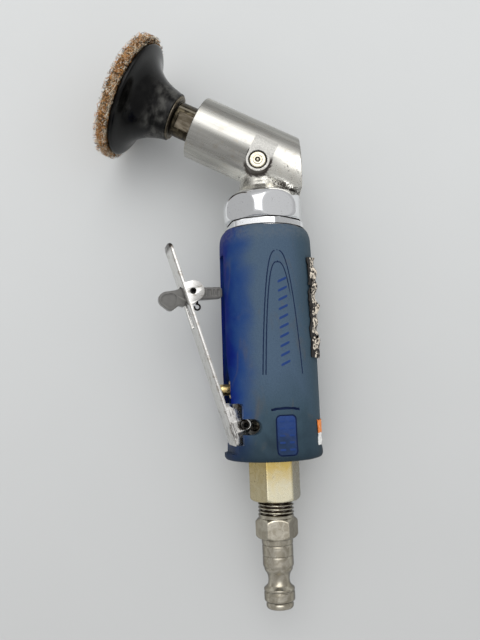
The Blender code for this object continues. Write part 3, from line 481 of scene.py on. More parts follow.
def sleeve_rubber(name, clean):
    """Blue moulded rubber: deep blue beside the lever, greyed by dust on top, greyer and darker towards the rear,
    with a painted sheen near the collar and painted shade in the grooves and crevices.
    """
    look = Look(name, (0.0005, 0.008, 0.150))
    patches = look.noise(14.0, 5, distortion=0.5)
    fine = look.noise(1.2, 5)
    cloud = (patches - 0.5) * 9.0
    across = look.along("X") + cloud
    rearward = look.along("Z") + cloud * 2.5
    dust = across.ramp(-16.6, -8.0)
    look.coat(across.ramp(-18.5, -14.5), (0.008, 0.042, 0.170))
    if clean:
        dust = dust * 0.12
        look.colour = look.mix(fine, (0.010, 0.038, 0.19), (0.020, 0.055, 0.235))
    look.coat(dust, (0.060, 0.097, 0.145))
    grey = across.ramp(2.0, 15.0).most(rearward.ramp(-86.0, -112.0))
    look.coat(grey * dust * 0.9, (0.034, 0.063, 0.084))
    look.coat(rearward.ramp(-106.0, -121.0) * 0.85, (0.012, 0.024, 0.034))
    # painted sheen: a patchy light grey band near the collar
    shoulder_sheen = look.along("Z").ramp(-40.0, -34.5) * fine.ramp(0.15, 0.85)
    look.coat(shoulder_sheen * 0.6, (0.115, 0.135, 0.150))
    smears = look.noise(7.0, 7, along=0.5, distortion=1.2).ramp(0.56, 0.80)
    look.coat(smears * 0.35, (0.100, 0.085, 0.062))
    look.coat(look.noise(0.5, 2).ramp(0.70, 0.76) * 0.22, (0.14, 0.15, 0.15))
    look.coat(look.noise(0.35, 5).ramp(0.42, 0.62) * 0.15, (0.006, 0.012, 0.03))
    relief = look.painted("relief")
    look.coat(relief.ramp(-0.04, -0.13), (0.014, 0.040, 0.155))
    # painted shade in the moulded grooves, by their depth
    look.coat(relief.ramp(0.05, 0.17) * 0.92, (0.003, 0.010, 0.050))
    # painted shade in the crevices
    look.coat(look.crevice(0.8).ramp(0.25, 0.62) * 0.9, (0.002, 0.004, 0.012))
    look.set("Specular IOR Level", 0.12)
    look.rough(fine * 0.5 + patches * 0.5, 0.45, 0.68)
    look.bump(look.noise(0.25, 3) + fine * 0.7, 0.14, 0.08)
    return look.done()


def black_rubber():
    """Glossy black rubber with a painted grey sheen round the hub."""
    look = Look("black_rubber", (0.001, 0.001, 0.001))
    hub = look.along("Z").ramp(52.0, 44.0).most(0.10)
    hub_sheen = look.noise(5.0, 3, along=5 / 3).ramp(0.35, 0.85) * hub
    fine = look.noise(0.4, 4)
    # painted sheen: soft grey bands near the hub
    look.coat(hub_sheen * 0.8, (0.110, 0.108, 0.098))
    look.set("Specular IOR Level", 0.20)
    look.rough(hub_sheen * 0.7 + fine * 0.4, 0.10, 0.50)
    look.bump(fine, 0.10, 0.05)
    return look.done()


def plastic(name, dark, light, gloss=0.34):
    look = Look(name, dark)
    tone = look.noise(2.0, 5)
    look.coat(tone * 0.6 + look.edge() * 0.6, light)
    look.rough(tone, gloss - 0.08, gloss + 0.18)
    look.bump(look.noise(0.3, 3), 0.10, 0.05)
    return look.done()


def oily_felt():
    look = Look("oily_felt", (0.14, 0.125, 0.10), roughness=0.95)
    hair = look.noise(0.35, 6, distortion=1.0)
    look.coat(hair, (0.34, 0.31, 0.26))
    look.bump(hair, 0.6, 0.3)
    return look.done()


def fibre(name, dark, light):
    look = Look(name, dark, roughness=0.8)
    look.coat(look.noise(1.6, 3).ramp(0.35, 0.65), light)
    look.set("Specular IOR Level", 0.25)
    look.bump(look.noise(0.2, 3), 0.2, 0.05)
    return look.done()


def abrasive_web():
    """The worn web of the disc: orange-brown grit, painted shade in its black gaps, and pale dust."""
    look = Look("abrasive_web", (0.20, 0.085, 0.025), roughness=0.95)
    tone = look.noise(1.1, 7, distortion=1.2)
    look.coat(tone.ramp(0.35, 0.65), (0.50, 0.26, 0.09))
    look.coat(look.noise(5.0, 4).ramp(0.5, 0.7), (0.44, 0.34, 0.21))
    # painted shade: near-black in the web's gaps
    look.coat(look.noise(0.75, 5, distortion=1.5).ramp(0.50, 0.40), (0.02, 0.015, 0.01))
    look.bump(tone, 1.0, 0.5)
    return look.done()


def paper(name, pale, stain, amount):
    """A worn paper label: pale where it holds, dark where dirt and glue show."""
    look = Look(name, pale, roughness=0.6)
    torn = look.noise(1.8, 7, distortion=1.4)
    grain = look.noise(0.4, 5)
    look.coat(grain.ramp(0.4, 0.7), tuple(0.78 * part for part in pale))
    look.coat(torn.ramp(0.64 - amount, 0.72 - amount), stain)
    look.bump(torn + grain, 0.35, 0.12)
    return look.done()


LOOKS = {
    "aluminium": aluminium(),
    "head_metal": head_metal(),
    "chrome": worn_chrome(),
    "lever_steel": lever_steel(),
    "dark_steel": oiled_steel(),
    "bearing_steel": ground_steel(),
    "black_oxide": black_oxide(),
    "rubbed_steel": rubbed_steel(),
    "nickel": dull_nickel(),
    "cream_plate": cream_plate(),
    "yellow_plate": yellow_plate(),
    "brass": brass_like("brass", (0.95, 0.76, 0.38), (0.75, 0.55, 0.22)),
    "bronze": brass_like("bronze", (0.45, 0.28, 0.14), (0.30, 0.17, 0.08)),
    "blue_rubber": sleeve_rubber("blue_rubber", False),
    "badge_rubber": sleeve_rubber("badge_rubber", True),
    "black_rubber": black_rubber(),
    "fibre_disc": abrasive_web(),
    "black_plastic": plastic("black_plastic", (0.030, 0.030, 0.028), (0.10, 0.10, 0.09)),
    "latch_plastic": plastic("latch_plastic", (0.075, 0.073, 0.068), (0.21, 0.205, 0.19), 0.28),
    "vane_fibre": plastic("vane_fibre", (0.14, 0.07, 0.03), (0.30, 0.17, 0.08), 0.6),
    "felt": oily_felt(),
    "worn_label": paper("worn_label", (0.74, 0.66, 0.54), (0.015, 0.011, 0.009), 0.18),
    # black painted shadow along the side label's loose edge
    "painted_edge_shadow": plastic("painted_edge_shadow", (0.004, 0.003, 0.003), (0.02, 0.016, 0.012), 0.6),
    "orange_label": paper("orange_label", (0.85, 0.25, 0.04), (0.75, 0.72, 0.66), -0.02),
    "white_label": paper("white_label", (0.82, 0.82, 0.80), (0.25, 0.25, 0.24), 0.0),
    "tan_fibre": fibre("tan_fibre", (0.36, 0.145, 0.035), (0.70, 0.37, 0.13)),
    "cream_fibre": fibre("cream_fibre", (0.62, 0.53, 0.38), (0.90, 0.84, 0.70)),
    "black_fibre": fibre("black_fibre", (0.012, 0.010, 0.008), (0.05, 0.04, 0.03)),
}


# ---- mesh helpers ----------------------------------------------------------------------------

def add(name, bm, at, look, sharp=38.0):
    """A new object from a bmesh in millimetres, placed on an axis frame."""
    for vert in bm.verts:
        vert.co *= MM
    bmesh.ops.recalc_face_normals(bm, faces=bm.faces)
    mesh = bpy.data.meshes.new(name)
    bm.to_mesh(mesh)
    bm.free()
    mesh.shade_smooth()
    mesh.set_sharp_from_angle(angle=math.radians(sharp))
    obj = bpy.data.objects.new(name, mesh)
    bpy.context.scene.collection.objects.link(obj)
    obj.matrix_world = at
    for entry in (look if isinstance(look, (list, tuple)) else [look]):
        mesh.materials.append(LOOKS[entry])
    return obj


def bake(obj, sharp=38.0):
    """Apply every modifier, so that the piece's own mesh holds its final shape."""
    evaluated = obj.evaluated_get(bpy.context.evaluated_depsgraph_get())
    mesh = bpy.data.meshes.new_from_object(evaluated)
    obj.modifiers.clear()
    obj.data = mesh
    mesh.shade_smooth()
    mesh.set_sharp_from_angle(angle=math.radians(sharp))
    return obj


def finish_piece(obj, body, slot, *nodes):
    """Hand a piece over to the frame: its body and the CAD nodes it stands for. Its finish, `slot`, is not used.
    """
    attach(obj, body)
    if nodes:
        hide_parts(*nodes)
    return obj


def rounded(points, ring=False, steps=4):
    """A profile with its corners rounded. A point may carry a third value, its corner radius."""
    result = []
    count = len(points)
    for i, point in enumerate(points):
        here = Vector(point[:2])
        size = point[2] if len(point) > 2 else 0.25
        if not ring and i in (0, count - 1) or size == 0:
            result.append(tuple(here))
            continue
        before = Vector(points[i - 1][:2]) - here
        after = Vector(points[(i + 1) % count][:2]) - here
        reach = min(size, before.length * 0.45, after.length * 0.45)
        start, end = here + before.normalized() * reach, here + after.normalized() * reach
        for step in range(steps + 1):
            t = step / steps
            result.append(tuple(start * (1 - t) ** 2 + here * (2 * t * (1 - t)) + end * t ** 2))
    return result


def divided(points, length, ring=False):
    """The same profile with no step longer than `length`."""
    result = []
    pairs = list(zip(points, points[1:] + points[:1] if ring else points[1:]))
    for first, second in pairs:
        steps = max(1, math.ceil(math.dist(first, second) / length))
        for i in range(steps):
            t = i / steps
            result.append((first[0] + (second[0] - first[0]) * t, first[1] + (second[1] - first[1]) * t))
    if not ring:
        result.append(points[-1])
    return result


def lathe_mesh(profile, segments, ring=False, shape=None, angles=None):
    """A surface of revolution about Z. `shape(radius, angle, height)` may change each radius, and
    `angles` may space the columns unevenly."""
    bm = bmesh.new()
    angles = angles or [math.tau * i / segments for i in range(segments)]
    rows = []
    for radius, height in profile:
        if radius < 1e-6:
            rows.append([bm.verts.new((0, 0, height))])
            continue
        row = []
        for angle in angles:
            r = shape(radius, angle, height) if shape else radius
            row.append(bm.verts.new((r * math.cos(angle), r * math.sin(angle), height)))
        rows.append(row)
    pairs = zip(rows, rows[1:] + rows[:1]) if ring else zip(rows, rows[1:])
    count = len(angles)
    for row, following in pairs:
        for i in range(count):
            j = (i + 1) % count
            corners = [row[i % len(row)], row[j % len(row)],
                       following[j % len(following)], following[i % len(following)]]
            unique = list(dict.fromkeys(corners))
            if len(unique) > 2:
                bm.faces.new(unique)
    return bm


def lathe(name, profile, at, look, segments=SEGMENTS, ring=False):
    return add(name, lathe_mesh(rounded(profile, ring), segments, ring), at, look)


def rod_profile(radius, low, high, corner=0.0):
    return rounded([(0, high), (radius, high, corner), (radius, low, corner), (0, low)])


def box_mesh(low, high):
    bm = bmesh.new()
    bmesh.ops.create_cube(bm, size=1.0)
    bmesh.ops.scale(bm, vec=[b - a for a, b in zip(low, high)], verts=bm.verts)
    bmesh.ops.translate(bm, vec=[(a + b) / 2 for a, b in zip(low, high)], verts=bm.verts)
    return bm


def box_cutter(low, high, at, corner=0.0):
    """A box for cutting, with its edges rounded."""
    bm = box_mesh(low, high)
    if corner:
        bmesh.ops.bevel(bm, geom=bm.edges[:], offset=corner, segments=5, affect="EDGES",
                        profile=0.5, clamp_overlap=True)
    return add("cutter", bm, at, "chrome")


def rod_cutter(radius, low, high, at, segments=SMALL_SEGMENTS):
    return add("cutter", lathe_mesh(rod_profile(radius, low, high), segments), at, "chrome")


def extruded(outline, run):
    """The solid that a flat outline of corners sweeps out along `run`."""
    bm = bmesh.new()
    face = bm.faces.new([bm.verts.new(corner) for corner in outline])
    grown = bmesh.ops.extrude_face_region(bm, geom=[face])
    moved = [element for element in grown["geom"] if isinstance(element, bmesh.types.BMVert)]
    bmesh.ops.translate(bm, vec=run, verts=moved)
    return bm


def combine(obj, others, operation="DIFFERENCE", solver="MANIFOLD"):
    """Cut the others out of a piece, or join them to it, and delete them."""
    for other in others:
        boolean = obj.modifiers.new("combine", "BOOLEAN")
        boolean.object = other
        boolean.operation = operation
        boolean.solver = solver
    bpy.context.view_layer.update()
    bake(obj)
    for other in others:
        bpy.data.objects.remove(other, do_unlink=True)
    return obj


def soften(obj, voxel, rounds):
    """Voxel remesh and smooth: joins cast shapes with small natural fillets."""
    remesh = obj.modifiers.new("remesh", "REMESH")
    remesh.mode = "VOXEL"
    remesh.voxel_size = voxel * MM
    smooth = obj.modifiers.new("smooth", "SMOOTH")
    smooth.factor = 0.5
    smooth.iterations = rounds
    return bake(obj, 180.0)


def bevelled(obj, width, segments=3, angle=30.0):
    bevel = obj.modifiers.new("bevel", "BEVEL")
    bevel.width = width * MM
    bevel.segments = segments
    bevel.limit_method = "ANGLE"
    bevel.angle_limit = math.radians(angle)
    bevel.harden_normals = False
    return bake(obj)


def soft_min(a, b, blend):
    """The smaller of two lengths, rounded over where they are nearly equal."""
    near = max(blend - abs(a - b), 0.0) / blend
    return min(a, b) - near * near * blend / 4


def hexagonal(flats, turn, blend=0.5, low=-1e9, high=1e9):
    """Shape function that keeps a turned piece inside a hexagon between two heights."""
    def shape(radius, angle, height):
        if not low <= height <= high:
            return radius
        across = (math.degrees(angle) - turn + 30) % 60 - 30
        return soft_min(radius, flats / 2 / math.cos(math.radians(across)), blend)
    return shape


def tubes_mesh(paths, sides=5):
    """Round wires along many polylines: each path is (points, radius, material index)."""
    bm = bmesh.new()
    for points, radius, index in paths:
        points = [Vector(point) for point in points]
        rings = []
        side = Vector((0.3, 0.5, 0.8))
        for i, point in enumerate(points):
            along = points[min(i + 1, len(points) - 1)] - points[max(i - 1, 0)]
            across = along.cross(side)
            if across.length < 1e-6:
                across = along.cross(Vector((0, 0, 1)))
            across.normalize()
            up = along.cross(across).normalized()
            rings.append([bm.verts.new(point + (across * math.cos(math.tau * k / sides)
                                                + up * math.sin(math.tau * k / sides)) * radius)
                          for k in range(sides)])
        for ring, following in zip(rings, rings[1:]):
            for k in range(sides):
                j = (k + 1) % sides
                bm.faces.new((ring[k], ring[j], following[j], following[k])).material_index = index
        bm.faces.new(rings[0][::-1]).material_index = index
        bm.faces.new(rings[-1]).material_index = index
    return bm


# ---- the disc, the pad and the mandrel -------------------------------------------------------

FIBRE_COUNT = 3700
RIM_SHARE, BACK_SHARE = 0.52, 0.18       # the other fibres are on the working face


def ragged(size, depth):
    """Shape function that roughens a turned surface."""
    def shape(radius, angle, height):
        place = Vector((radius * math.cos(angle), radius * math.sin(angle), height))
        return radius + depth * (noise.noise(place / size) + 0.5 * noise.noise(place * 2.7 / size))
    return shape


def abrasive_disc():
    """The web of the disc: worn rounded rim, torn surface on every side."""
    rim, hollow, bore = DISC_RADIUS - 0.4, 9.0, 3.9
    face = [(bore, DISC_FACE - 0.1), (rim - 0.8, DISC_FACE - 0.15), (rim, DISC_FACE - 0.9),
            (rim, DISC_BACK + 0.7), (rim - 0.5, DISC_BACK + 0.05), (hollow, DISC_BACK + 0.05),
            (hollow, DISC_FACE - 1.6), (bore, DISC_FACE - 1.6)]
    profile = divided(rounded(face, ring=True), 0.55, ring=True)
    bm = lathe_mesh(profile, 240, ring=True, shape=ragged(1.3, 0.30))
    for vert in bm.verts:
        if math.hypot(vert.co.x, vert.co.y) > hollow + 0.5:
            vert.co.z += 0.14 * noise.noise(vert.co / 0.9) + 0.12 * noise.noise(vert.co / 2.3)
            vert.co.z = max(vert.co.z, DISC_BACK - 0.1)
    return add("abrasive_disc_web", bm, SPINDLE, "fibre_disc", 180.0)


def curl(start, heading, outward, length, rng):
    """A short fibre that wanders along the surface and lifts a little off it."""
    points = [start]
    direction = heading.copy()
    turn_axis = (outward + Vector([rng.uniform(-0.6, 0.6) for _ in range(3)])).normalized()
    rate = rng.uniform(-75, 75)
    steps = 6
    for _ in range(steps):
        direction.rotate(Matrix.Rotation(math.radians(rate), 3, turn_axis))
        lift = outward * rng.uniform(-0.25, 0.25)
        points.append(points[-1] + (direction + lift).normalized() * length / steps)
        rate += rng.uniform(-25, 25)
    return points


def fibre_root(rng, zone, out):
    """Where a fibre starts, on the rim, the back or the face, and which way is outward there."""
    if zone < RIM_SHARE:
        start = out * (DISC_RADIUS - 0.35 + rng.uniform(-0.2, 0.25))
        start.z = rng.uniform(DISC_BACK + 0.1, DISC_FACE - 0.5)
        return start, out
    if zone < RIM_SHARE + BACK_SHARE:
        start = out * rng.uniform(PAD_RADIUS + 0.5, DISC_RADIUS - 0.3)
        start.z = DISC_BACK + rng.uniform(-0.15, 0.1)
        return start, Vector((0, 0, -1))
    start = out * math.sqrt(rng.uniform(25.0, DISC_RADIUS ** 2))
    start.z = DISC_FACE - 0.2 + rng.uniform(-0.15, 0.15)
    return start, Vector((0, 0, 1))


def keep_near_disc(bm):
    """Hold the fibres close to the disc, and out of the pad behind it."""
    limit = DISC_RADIUS + 0.9
    for vert in bm.verts:
        radius = math.hypot(vert.co.x, vert.co.y)
        if radius > limit:
            vert.co.x *= limit / radius
            vert.co.y *= limit / radius
        if radius < PAD_RADIUS + 0.3:
            vert.co.z = max(vert.co.z, DISC_BACK)
        vert.co.z = min(max(vert.co.z, DISC_BACK - 0.7), DISC_FACE + 0.35)


def disc_fibres():
    """Curly fibres on the rim and both faces, most of them where the web is torn at the rim."""
    rng = random.Random(11)
    paths = []
    for _ in range(FIBRE_COUNT):
        angle = rng.uniform(0, math.tau)
        out = Vector((math.cos(angle), math.sin(angle), 0))
        around = Vector((-math.sin(angle), math.cos(angle), 0))
        zone = rng.random()
        start, outward = fibre_root(rng, zone, out)
        across = outward.cross(around)
        heading = (around * rng.uniform(-1, 1) + across * rng.uniform(-0.7, 0.7)).normalized()
        length = rng.uniform(1.8, 6.0)
        shade = rng.choices(range(3), weights=(50, 27, 23))[0]
        if zone < RIM_SHARE + BACK_SHARE and start.z < DISC_BACK + 1.3:
            shade = rng.choices(range(3), weights=(22, 38, 40))[0]
        paths.append((curl(start, heading, outward, length, rng), rng.uniform(0.045, 0.09), shade))
    bm = tubes_mesh(paths, 4)
    keep_near_disc(bm)
    return add("disc_fibres", bm, SPINDLE, ["tan_fibre", "cream_fibre", "black_fibre"], 180.0)


def disc_group():
    finish_piece(abrasive_disc(), "spindle", "fibre_disc", "abrasive_disc")
    finish_piece(disc_fibres(), "spindle", "fibre_disc")
    front, back = DISC_FACE - 1.7, DISC_BACK + 0.2
    button = lathe("disc_button_moulding", [
        (0, front - 0.4), (2.6, front - 0.4, 0.3), (3.0, front, 0.2), (8.6, front, 0.4),
        (8.6, back, 0.4), (3.4, back, 0.2), (3.4, 49.0, 0.4), (0, 49.0)],
        SPINDLE, "black_plastic", 72)
    finish_piece(button, "spindle", "black_plastic", "disc_button")


def pad_group():
    """The trumpet pad: straight hub, concave flare, a step and a thin band at the rim."""
    flare = [(5.6, PAD_FACE, 0.1), (PAD_RADIUS - 0.3, PAD_FACE, 0.25), (PAD_RADIUS, PAD_FACE - 0.4, 0.2),
             (PAD_RADIUS + 0.05, PAD_FACE - 1.5, 0.3), (PAD_RADIUS - 0.5, PAD_FACE - 1.95, 0.3),
             (22.2, 56.0, 0.5), (19.3, 55.1, 2.0), (16.3, 53.2, 2.0), (13.9, 50.6, 2.0), (12.1, 47.6, 2.0),
             (11.0, 44.6, 2.0), (10.3, 42.0, 1.5), (10.05, HUB_FACE + 1.6, 0.4), (9.9, HUB_FACE + 0.7, 0.4),
             (9.4, HUB_FACE + 0.6, 0.15), (9.4, HUB_FACE + 1.6, 0.15), (5.6, HUB_FACE + 1.6, 0.1)]
    pad = lathe("backing_pad_trumpet", flare, SPINDLE, "black_rubber", 144, ring=True)
    finish_piece(pad, "spindle", "black_rubber", "backing_pad")
    mandrel = lathe("pad_mandrel_shank", [
        (0, 47.0), (3.7, 47.0), (3.7, 56.0), (5.2, 56.0, 0.2), (5.2, HUB_FACE + 1.3, 0.2),
        (9.2, HUB_FACE + 1.3, 0.2), (9.35, HUB_FACE + 0.2, 0.35), (8.7, HUB_FACE - 0.1, 0.25),
        (7.6, HUB_FACE - 0.1, 0.2), (7.4, HUB_FACE + 0.25, 0.15), (3.17, HUB_FACE + 0.25, 0.1),
        (3.17, 23.0, 0.4), (0, 23.0)],
        SPINDLE, "rubbed_steel", 96)
    finish_piece(mandrel, "spindle", "dark_steel", "pad_mandrel")


def collet_group():
    """The collet nut with its two wrench flats, and the collet in it."""
    flats_end, flat = 37.0, 6.15

    def flats(radius, angle, height):
        if height > flats_end:
            return radius
        return soft_min(radius, flat / max(abs(math.cos(angle)), 1e-3), 0.12)

    profile = [(6.2, 30.2), (6.2, 35.8, 0.1), (3.7, 35.8, 0.2), (3.7, 38.6, 0.3), (6.9, 38.6, 0.4),
               (7.15, 38.2, 0.2), (7.15, 37.05, 0.03), (7.15, 36.95, 0.03), (7.15, 30.2, 0.3)]
    points = divided(rounded(profile[::-1], ring=True), 1.0, ring=True)
    bm = lathe_mesh(points, 180, True, flats)
    for face in bm.faces:
        middle = face.calc_center_median()
        on_flat = flat - 0.05 < abs(middle.x) < flat + 0.1 and abs(middle.y) < 3.4
        if on_flat and 30.5 < middle.z < flats_end:
            face.material_index = 1
    nut = add("collet_nut_body", bm, NUT_FLATS, ["dark_steel", "rubbed_steel"], 25.0)
    finish_piece(nut, "spindle", "dark_steel", "collet_nut")
    jaws = [(4.0, 35.4, 0.3), (4.5, 33.0, 0.3), (4.5, 22.4), (3.5, 22.4), (3.5, 35.4, 0.2)]
    collet = lathe("collet_jaws", jaws, SPINDLE, "bearing_steel", 60, ring=True)
    combine(collet, [box_cutter((-0.25, 0.5, 24), (0.25, 10, 36), turned_frame(SPINDLE, 120 * i, "Z"))
                     for i in range(3)])
    finish_piece(collet, "spindle", "bearing_steel", "collet")


# ---- the angle head --------------------------------------------------------------------------

BOSS_TOP = 12.75
BOSS_RADIUS = 4.85


def angle_head():
    """A turned barrel with a milled back, a cast neck, and a flat boss round the grease nipple."""
    far = 60
    head = add("angle_head_casting", lathe_mesh(rod_profile(HEAD_RADIUS, -30, HEAD_FACE), 160),
               SPINDLE, "head_metal")
    neck_profile = [(0, -1), (9.0, -1), (9.0, -11), (9.15, -12.6), (9.6, -14.4), (10.9, -16.6),
                    (10.9, -27.5), (0, -27.5)]
    neck = add("neck", lathe_mesh(neck_profile, 120), MOTOR, "head_metal")
    boss = add("boss", lathe_mesh(rod_profile(BOSS_RADIUS, 2, BOSS_TOP), 80), NIPPLE, "head_metal")
    ridge_axis = turned_frame(NIPPLE, HEAD_ANGLE - 90, "Z")
    ridge = box_cutter((-BOSS_RADIUS, 0, 2), (BOSS_RADIUS, 5.8, BOSS_TOP), ridge_axis)
    back = box_cutter((HEAD_BACK_PLANE, -far, -far), (far, far, far), TOOL)
    under = box_cutter((-far, -far, -far), (far, CLAMP_TOP + 0.3, far), TOOL)
    combine(head, [back, under])
    combine(head, [neck, boss, ridge], "UNION")
    corner = turned_frame(shifted(TOOL, HEAD_BACK_PLANE, 6.9, 0), 31, "Z")
    combine(head, [
        rod_cutter(11.2, 12.8, HEAD_FACE + 1, SPINDLE, 96),
        rod_cutter(9.5, -10.6, 13.3, SPINDLE, 96),
        rod_cutter(4.9, -14.0, -10.1, SPINDLE),
        rod_cutter(7.7, -28.5, -3.0, MOTOR, 96),
        rod_cutter(3.65, 8.0, NIPPLE_TOP + 1, NIPPLE, 60),
        rod_cutter(2.6, 5.0, NIPPLE_TOP + 1, NIPPLE),
        box_cutter((-0.6, -1.5, -40), (20, 20, 40), corner)])
    soften(head, 0.24, 2)
    finish_piece(head, "housing", "aluminium", "angle_head")


def nipple_group():
    top = BOSS_TOP + 0.12
    nipple = lathe("grease_nipple_body", [
        (0.7, top - 3.5), (0.7, top - 0.9, 0.1), (0.98, top - 0.5, 0.1), (1.05, top - 0.05, 0.05),
        (1.7, top, 0.1), (1.95, top - 0.14, 0.1), (2.9, top - 0.10, 0.3), (3.3, top - 0.30, 0.2),
        (3.3, top - 1.2, 0.1),
        (2.4, top - 1.2, 0.1), (2.4, top - 4.2)][::-1], NIPPLE, "cream_plate", 72, ring=True)
    finish_piece(nipple, "housing", "nickel", "grease_nipple")
    ball = bmesh.new()
    bmesh.ops.create_icosphere(ball, subdivisions=4, radius=0.85)
    bmesh.ops.translate(ball, vec=(0, 0, top - 0.70), verts=ball.verts)
    finish_piece(add("check_ball", ball, NIPPLE, "cream_plate"), "housing", "bearing_steel",
                 "grease_check_ball")


def bearing_cap():
    cap = lathe("head_bearing_cap", [
        (6.5, 26.0), (6.5, HEAD_FACE - 0.4, 0.3), (10.9, HEAD_FACE - 0.4, 0.35), (10.9, 20.4), (9.9, 20.4),
        (9.9, 26.0)][::-1], SPINDLE, "dark_steel", 96, ring=True)
    corners = [shifted(turned_frame(SPINDLE, 45 + 90 * i, "Z"), 8.7, 0, 0) for i in range(4)]
    combine(cap, [rod_cutter(0.8, 27.6, 30, corner, 20) for corner in corners])
    finish_piece(cap, "housing", "dark_steel", "front_bearing_cap")


# ---- the clamp nut and the collar ------------------------------------------------------------

def clamp_nut():
    """A domed chrome nut: the hexagon fades into the dome and into a rounded lower lip."""
    outer = [(11.3, CLAMP_TOP + 0.1, 0.2), (13.2, CLAMP_TOP + 0.1, 0.5), (14.9, CLAMP_TOP - 1.0, 1.0),
             (16.1, CLAMP_TOP - 3.1, 1.5), (16.75, CLAMP_TOP - 5.6, 2.0), (16.75, CLAMP_BOTTOM + 1.9, 1.2),
             (16.1, CLAMP_BOTTOM + 0.35, 0.5), (15.4, CLAMP_BOTTOM, 0.3), (14.3, CLAMP_BOTTOM, 0.1)]
    inner = [(14.3, -21.3, 0.1), (11.3, -21.3, 0.1)]
    profile = divided(rounded(outer + inner, ring=True, steps=6), 0.35, ring=True)
    shape = hexagonal(CLAMP_FLATS, CLAMP_TURN, 0.35)
    nut = add("clamp_nut_body", lathe_mesh(profile, 216, True, shape), MOTOR, "chrome", 180.0)
    finish_piece(nut, "housing", "chrome", "clamp_nut")


def motor_housing():
    """The housing's hexagonal collar under the clamp nut, and its tube inside the sleeve."""
    top = CLAMP_BOTTOM - 0.35
    collar_shape = hexagonal(COLLAR_FLATS + 0.5, COLLAR_TURN, 0.3, COLLAR_BOTTOM, top + 0.2)
    outer = [(11.2, -23.0), (14.0, -23.0, 0.2), (14.0, top + 0.3, 0.05), (14.0, top, 0.05), (15.2, top, 0.2),
             (16.3, top - 0.5, 0.25), (16.3, COLLAR_BOTTOM + 0.3, 0.1), (16.3, COLLAR_BOTTOM, 0.05),
             (15.5, COLLAR_BOTTOM - 0.01, 0.0), (15.5, JOINT_PLANE + 0.3), (13.1, JOINT_PLANE + 0.3)]
    inner = [(13.1, -27.9), (11.2, -27.9)]
    profile = rounded(outer + inner, ring=True, steps=3)
    tube = lathe_mesh(profile, 144, True, collar_shape)
    housing = add("motor_housing_tube", tube, MOTOR, "chrome", 40.0)
    finish_piece(housing, "housing", "aluminium", "motor_housing")


# ---- the grip sleeve -------------------------------------------------------------------------

ARCH_TOP = -43.2
ARCH_END = -90.2
BADGE = (-3.6, 4.1, -120.0, -105.4)      # left, right, rear, front, in the handle frame


def arch_side(depth, width, length, power):
    return width * (max(depth, 0.0) / length) ** power


def line_groove(distance, half_width, depth):
    return depth * max(0.0, 1.0 - (distance / half_width) ** 2)


def arch_groove(x, z):
    """Two moulded arch outlines, one inside the other; the inner one fades out on the right."""
    depth = 0.0
    for top, left, right, fade in ((ARCH_TOP, -7.2, 8.35, 60.0), (ARCH_TOP - 4.5, -6.15, 7.3, 16.0)):
        length = top - ARCH_END
        down = top - z
        if not -0.4 < down < length:
            continue
        for width, power in ((left, 0.33), (right, 0.38)):
            side = arch_side(down, width, length, power)
            slope = abs(side) * power / max(down, 0.05)
            if (x + 0.5) * width < -0.3:
                continue
            distance = abs(x + 0.5 - side) / math.sqrt(1 + slope * slope)
            strength = 1.0 if width < 0 else max(0.0, min(1.0, (fade - down) / 8.0))
            depth = max(depth, strength * line_groove(distance, 0.26, 0.26))
    return depth


def box_distance(x, z, box, corner):
    """Signed distance to a rounded rectangle."""
    left, right, rear, front = box
    dx = abs(x - (left + right) / 2) - (right - left) / 2 + corner
    dz = abs(z - (rear + front) / 2) - (front - rear) / 2 + corner
    outside = math.hypot(max(dx, 0), max(dz, 0))
    return outside + min(max(dx, dz), 0) - corner


def bar_height(across, along):
    """A low rounded bar with square ends; both places are shares of its half width and length."""
    return 0.16 * max(0.0, 1 - across ** 2) * max(0.0, 1 - along ** 6)


def rib_height(x, z):
    """Plain slanted ribs inside the arch and short bars on the badge: no lettering."""
    height = 0.0
    for i in range(10):
        middle = -54.5 - 3.5 * i
        along = z - middle - 0.45 * (x - 0.9)
        across = x - 0.9 - 0.02 * (z - middle)
        height = max(height, bar_height(along / 0.75, across / 2.1))
    left, right, _, front = BADGE
    for i in range(5):
        middle = front - 2.1 - 2.6 * i
        for centre in (left + 2.0, right - 2.0):
            height = max(height, bar_height((z - middle) / 0.55, (x - centre) / 1.25))
    return height


def sleeve_marks(x, z):
    """Grooves below the sleeve's surface (and ribs above it, negative) on the side that faces up."""
    depth = arch_groove(x, z)
    if -5.3 < x < 5.6:
        depth = max(depth, line_groove(z + 102.7 + 0.02 * (x * x), 0.45, 0.5))
    depth = max(depth, line_groove(box_distance(x, z, BADGE, 1.6), 0.30, 0.32))
    return depth - rib_height(x, z)


def sleeve_relief(x, z):
    recess = box_distance(x, z, (-5.4, 5.9, -121.0, -102.6), 0.6)
    shallow = 0.20 * min(max(0.5 - recess, 0.0), 1.0) if z > -119.5 else 0.0
    return sleeve_marks(x, z) + shallow


def sleeve_shape(radius, angle, height):
    """The sleeve's outer radius: moulded marks, and slow dents of soft worn rubber."""
    if radius < SLEEVE_BORE + 0.05:
        return radius
    place = Vector((math.cos(angle) * 2.2, math.sin(angle) * 2.2, height / 9.0))
    radius += 0.07 * noise.noise(place) + 0.02 * noise.noise(place * 5)
    if math.sin(angle) < -0.4 and height < -40:
        radius -= sleeve_relief(radius * math.cos(angle), height)
    return radius


def paint_relief(sleeve):
    """Keep how deep each point lies, for the sleeve's material."""
    values = sleeve.data.attributes.new("relief", "FLOAT", "POINT")
    for vert, value in zip(sleeve.data.vertices, values.data):
        x, y, z = (v / MM for v in vert.co)
        inside = y < -7 and z < -40 and math.hypot(x, y) > SLEEVE_BORE + 1
        value.value = sleeve_marks(x, z) if inside else 0.0


def sleeve_columns():
    """Fine columns where the marks are (facing -Y), coarser ones elsewhere."""
    columns = []
    degree = -90.0 - 31.0
    while degree < -90.0 + 329.0:
        columns.append(math.radians(degree))
        degree += 0.62 if degree < -90.0 + 31.0 else 2.6
    return columns


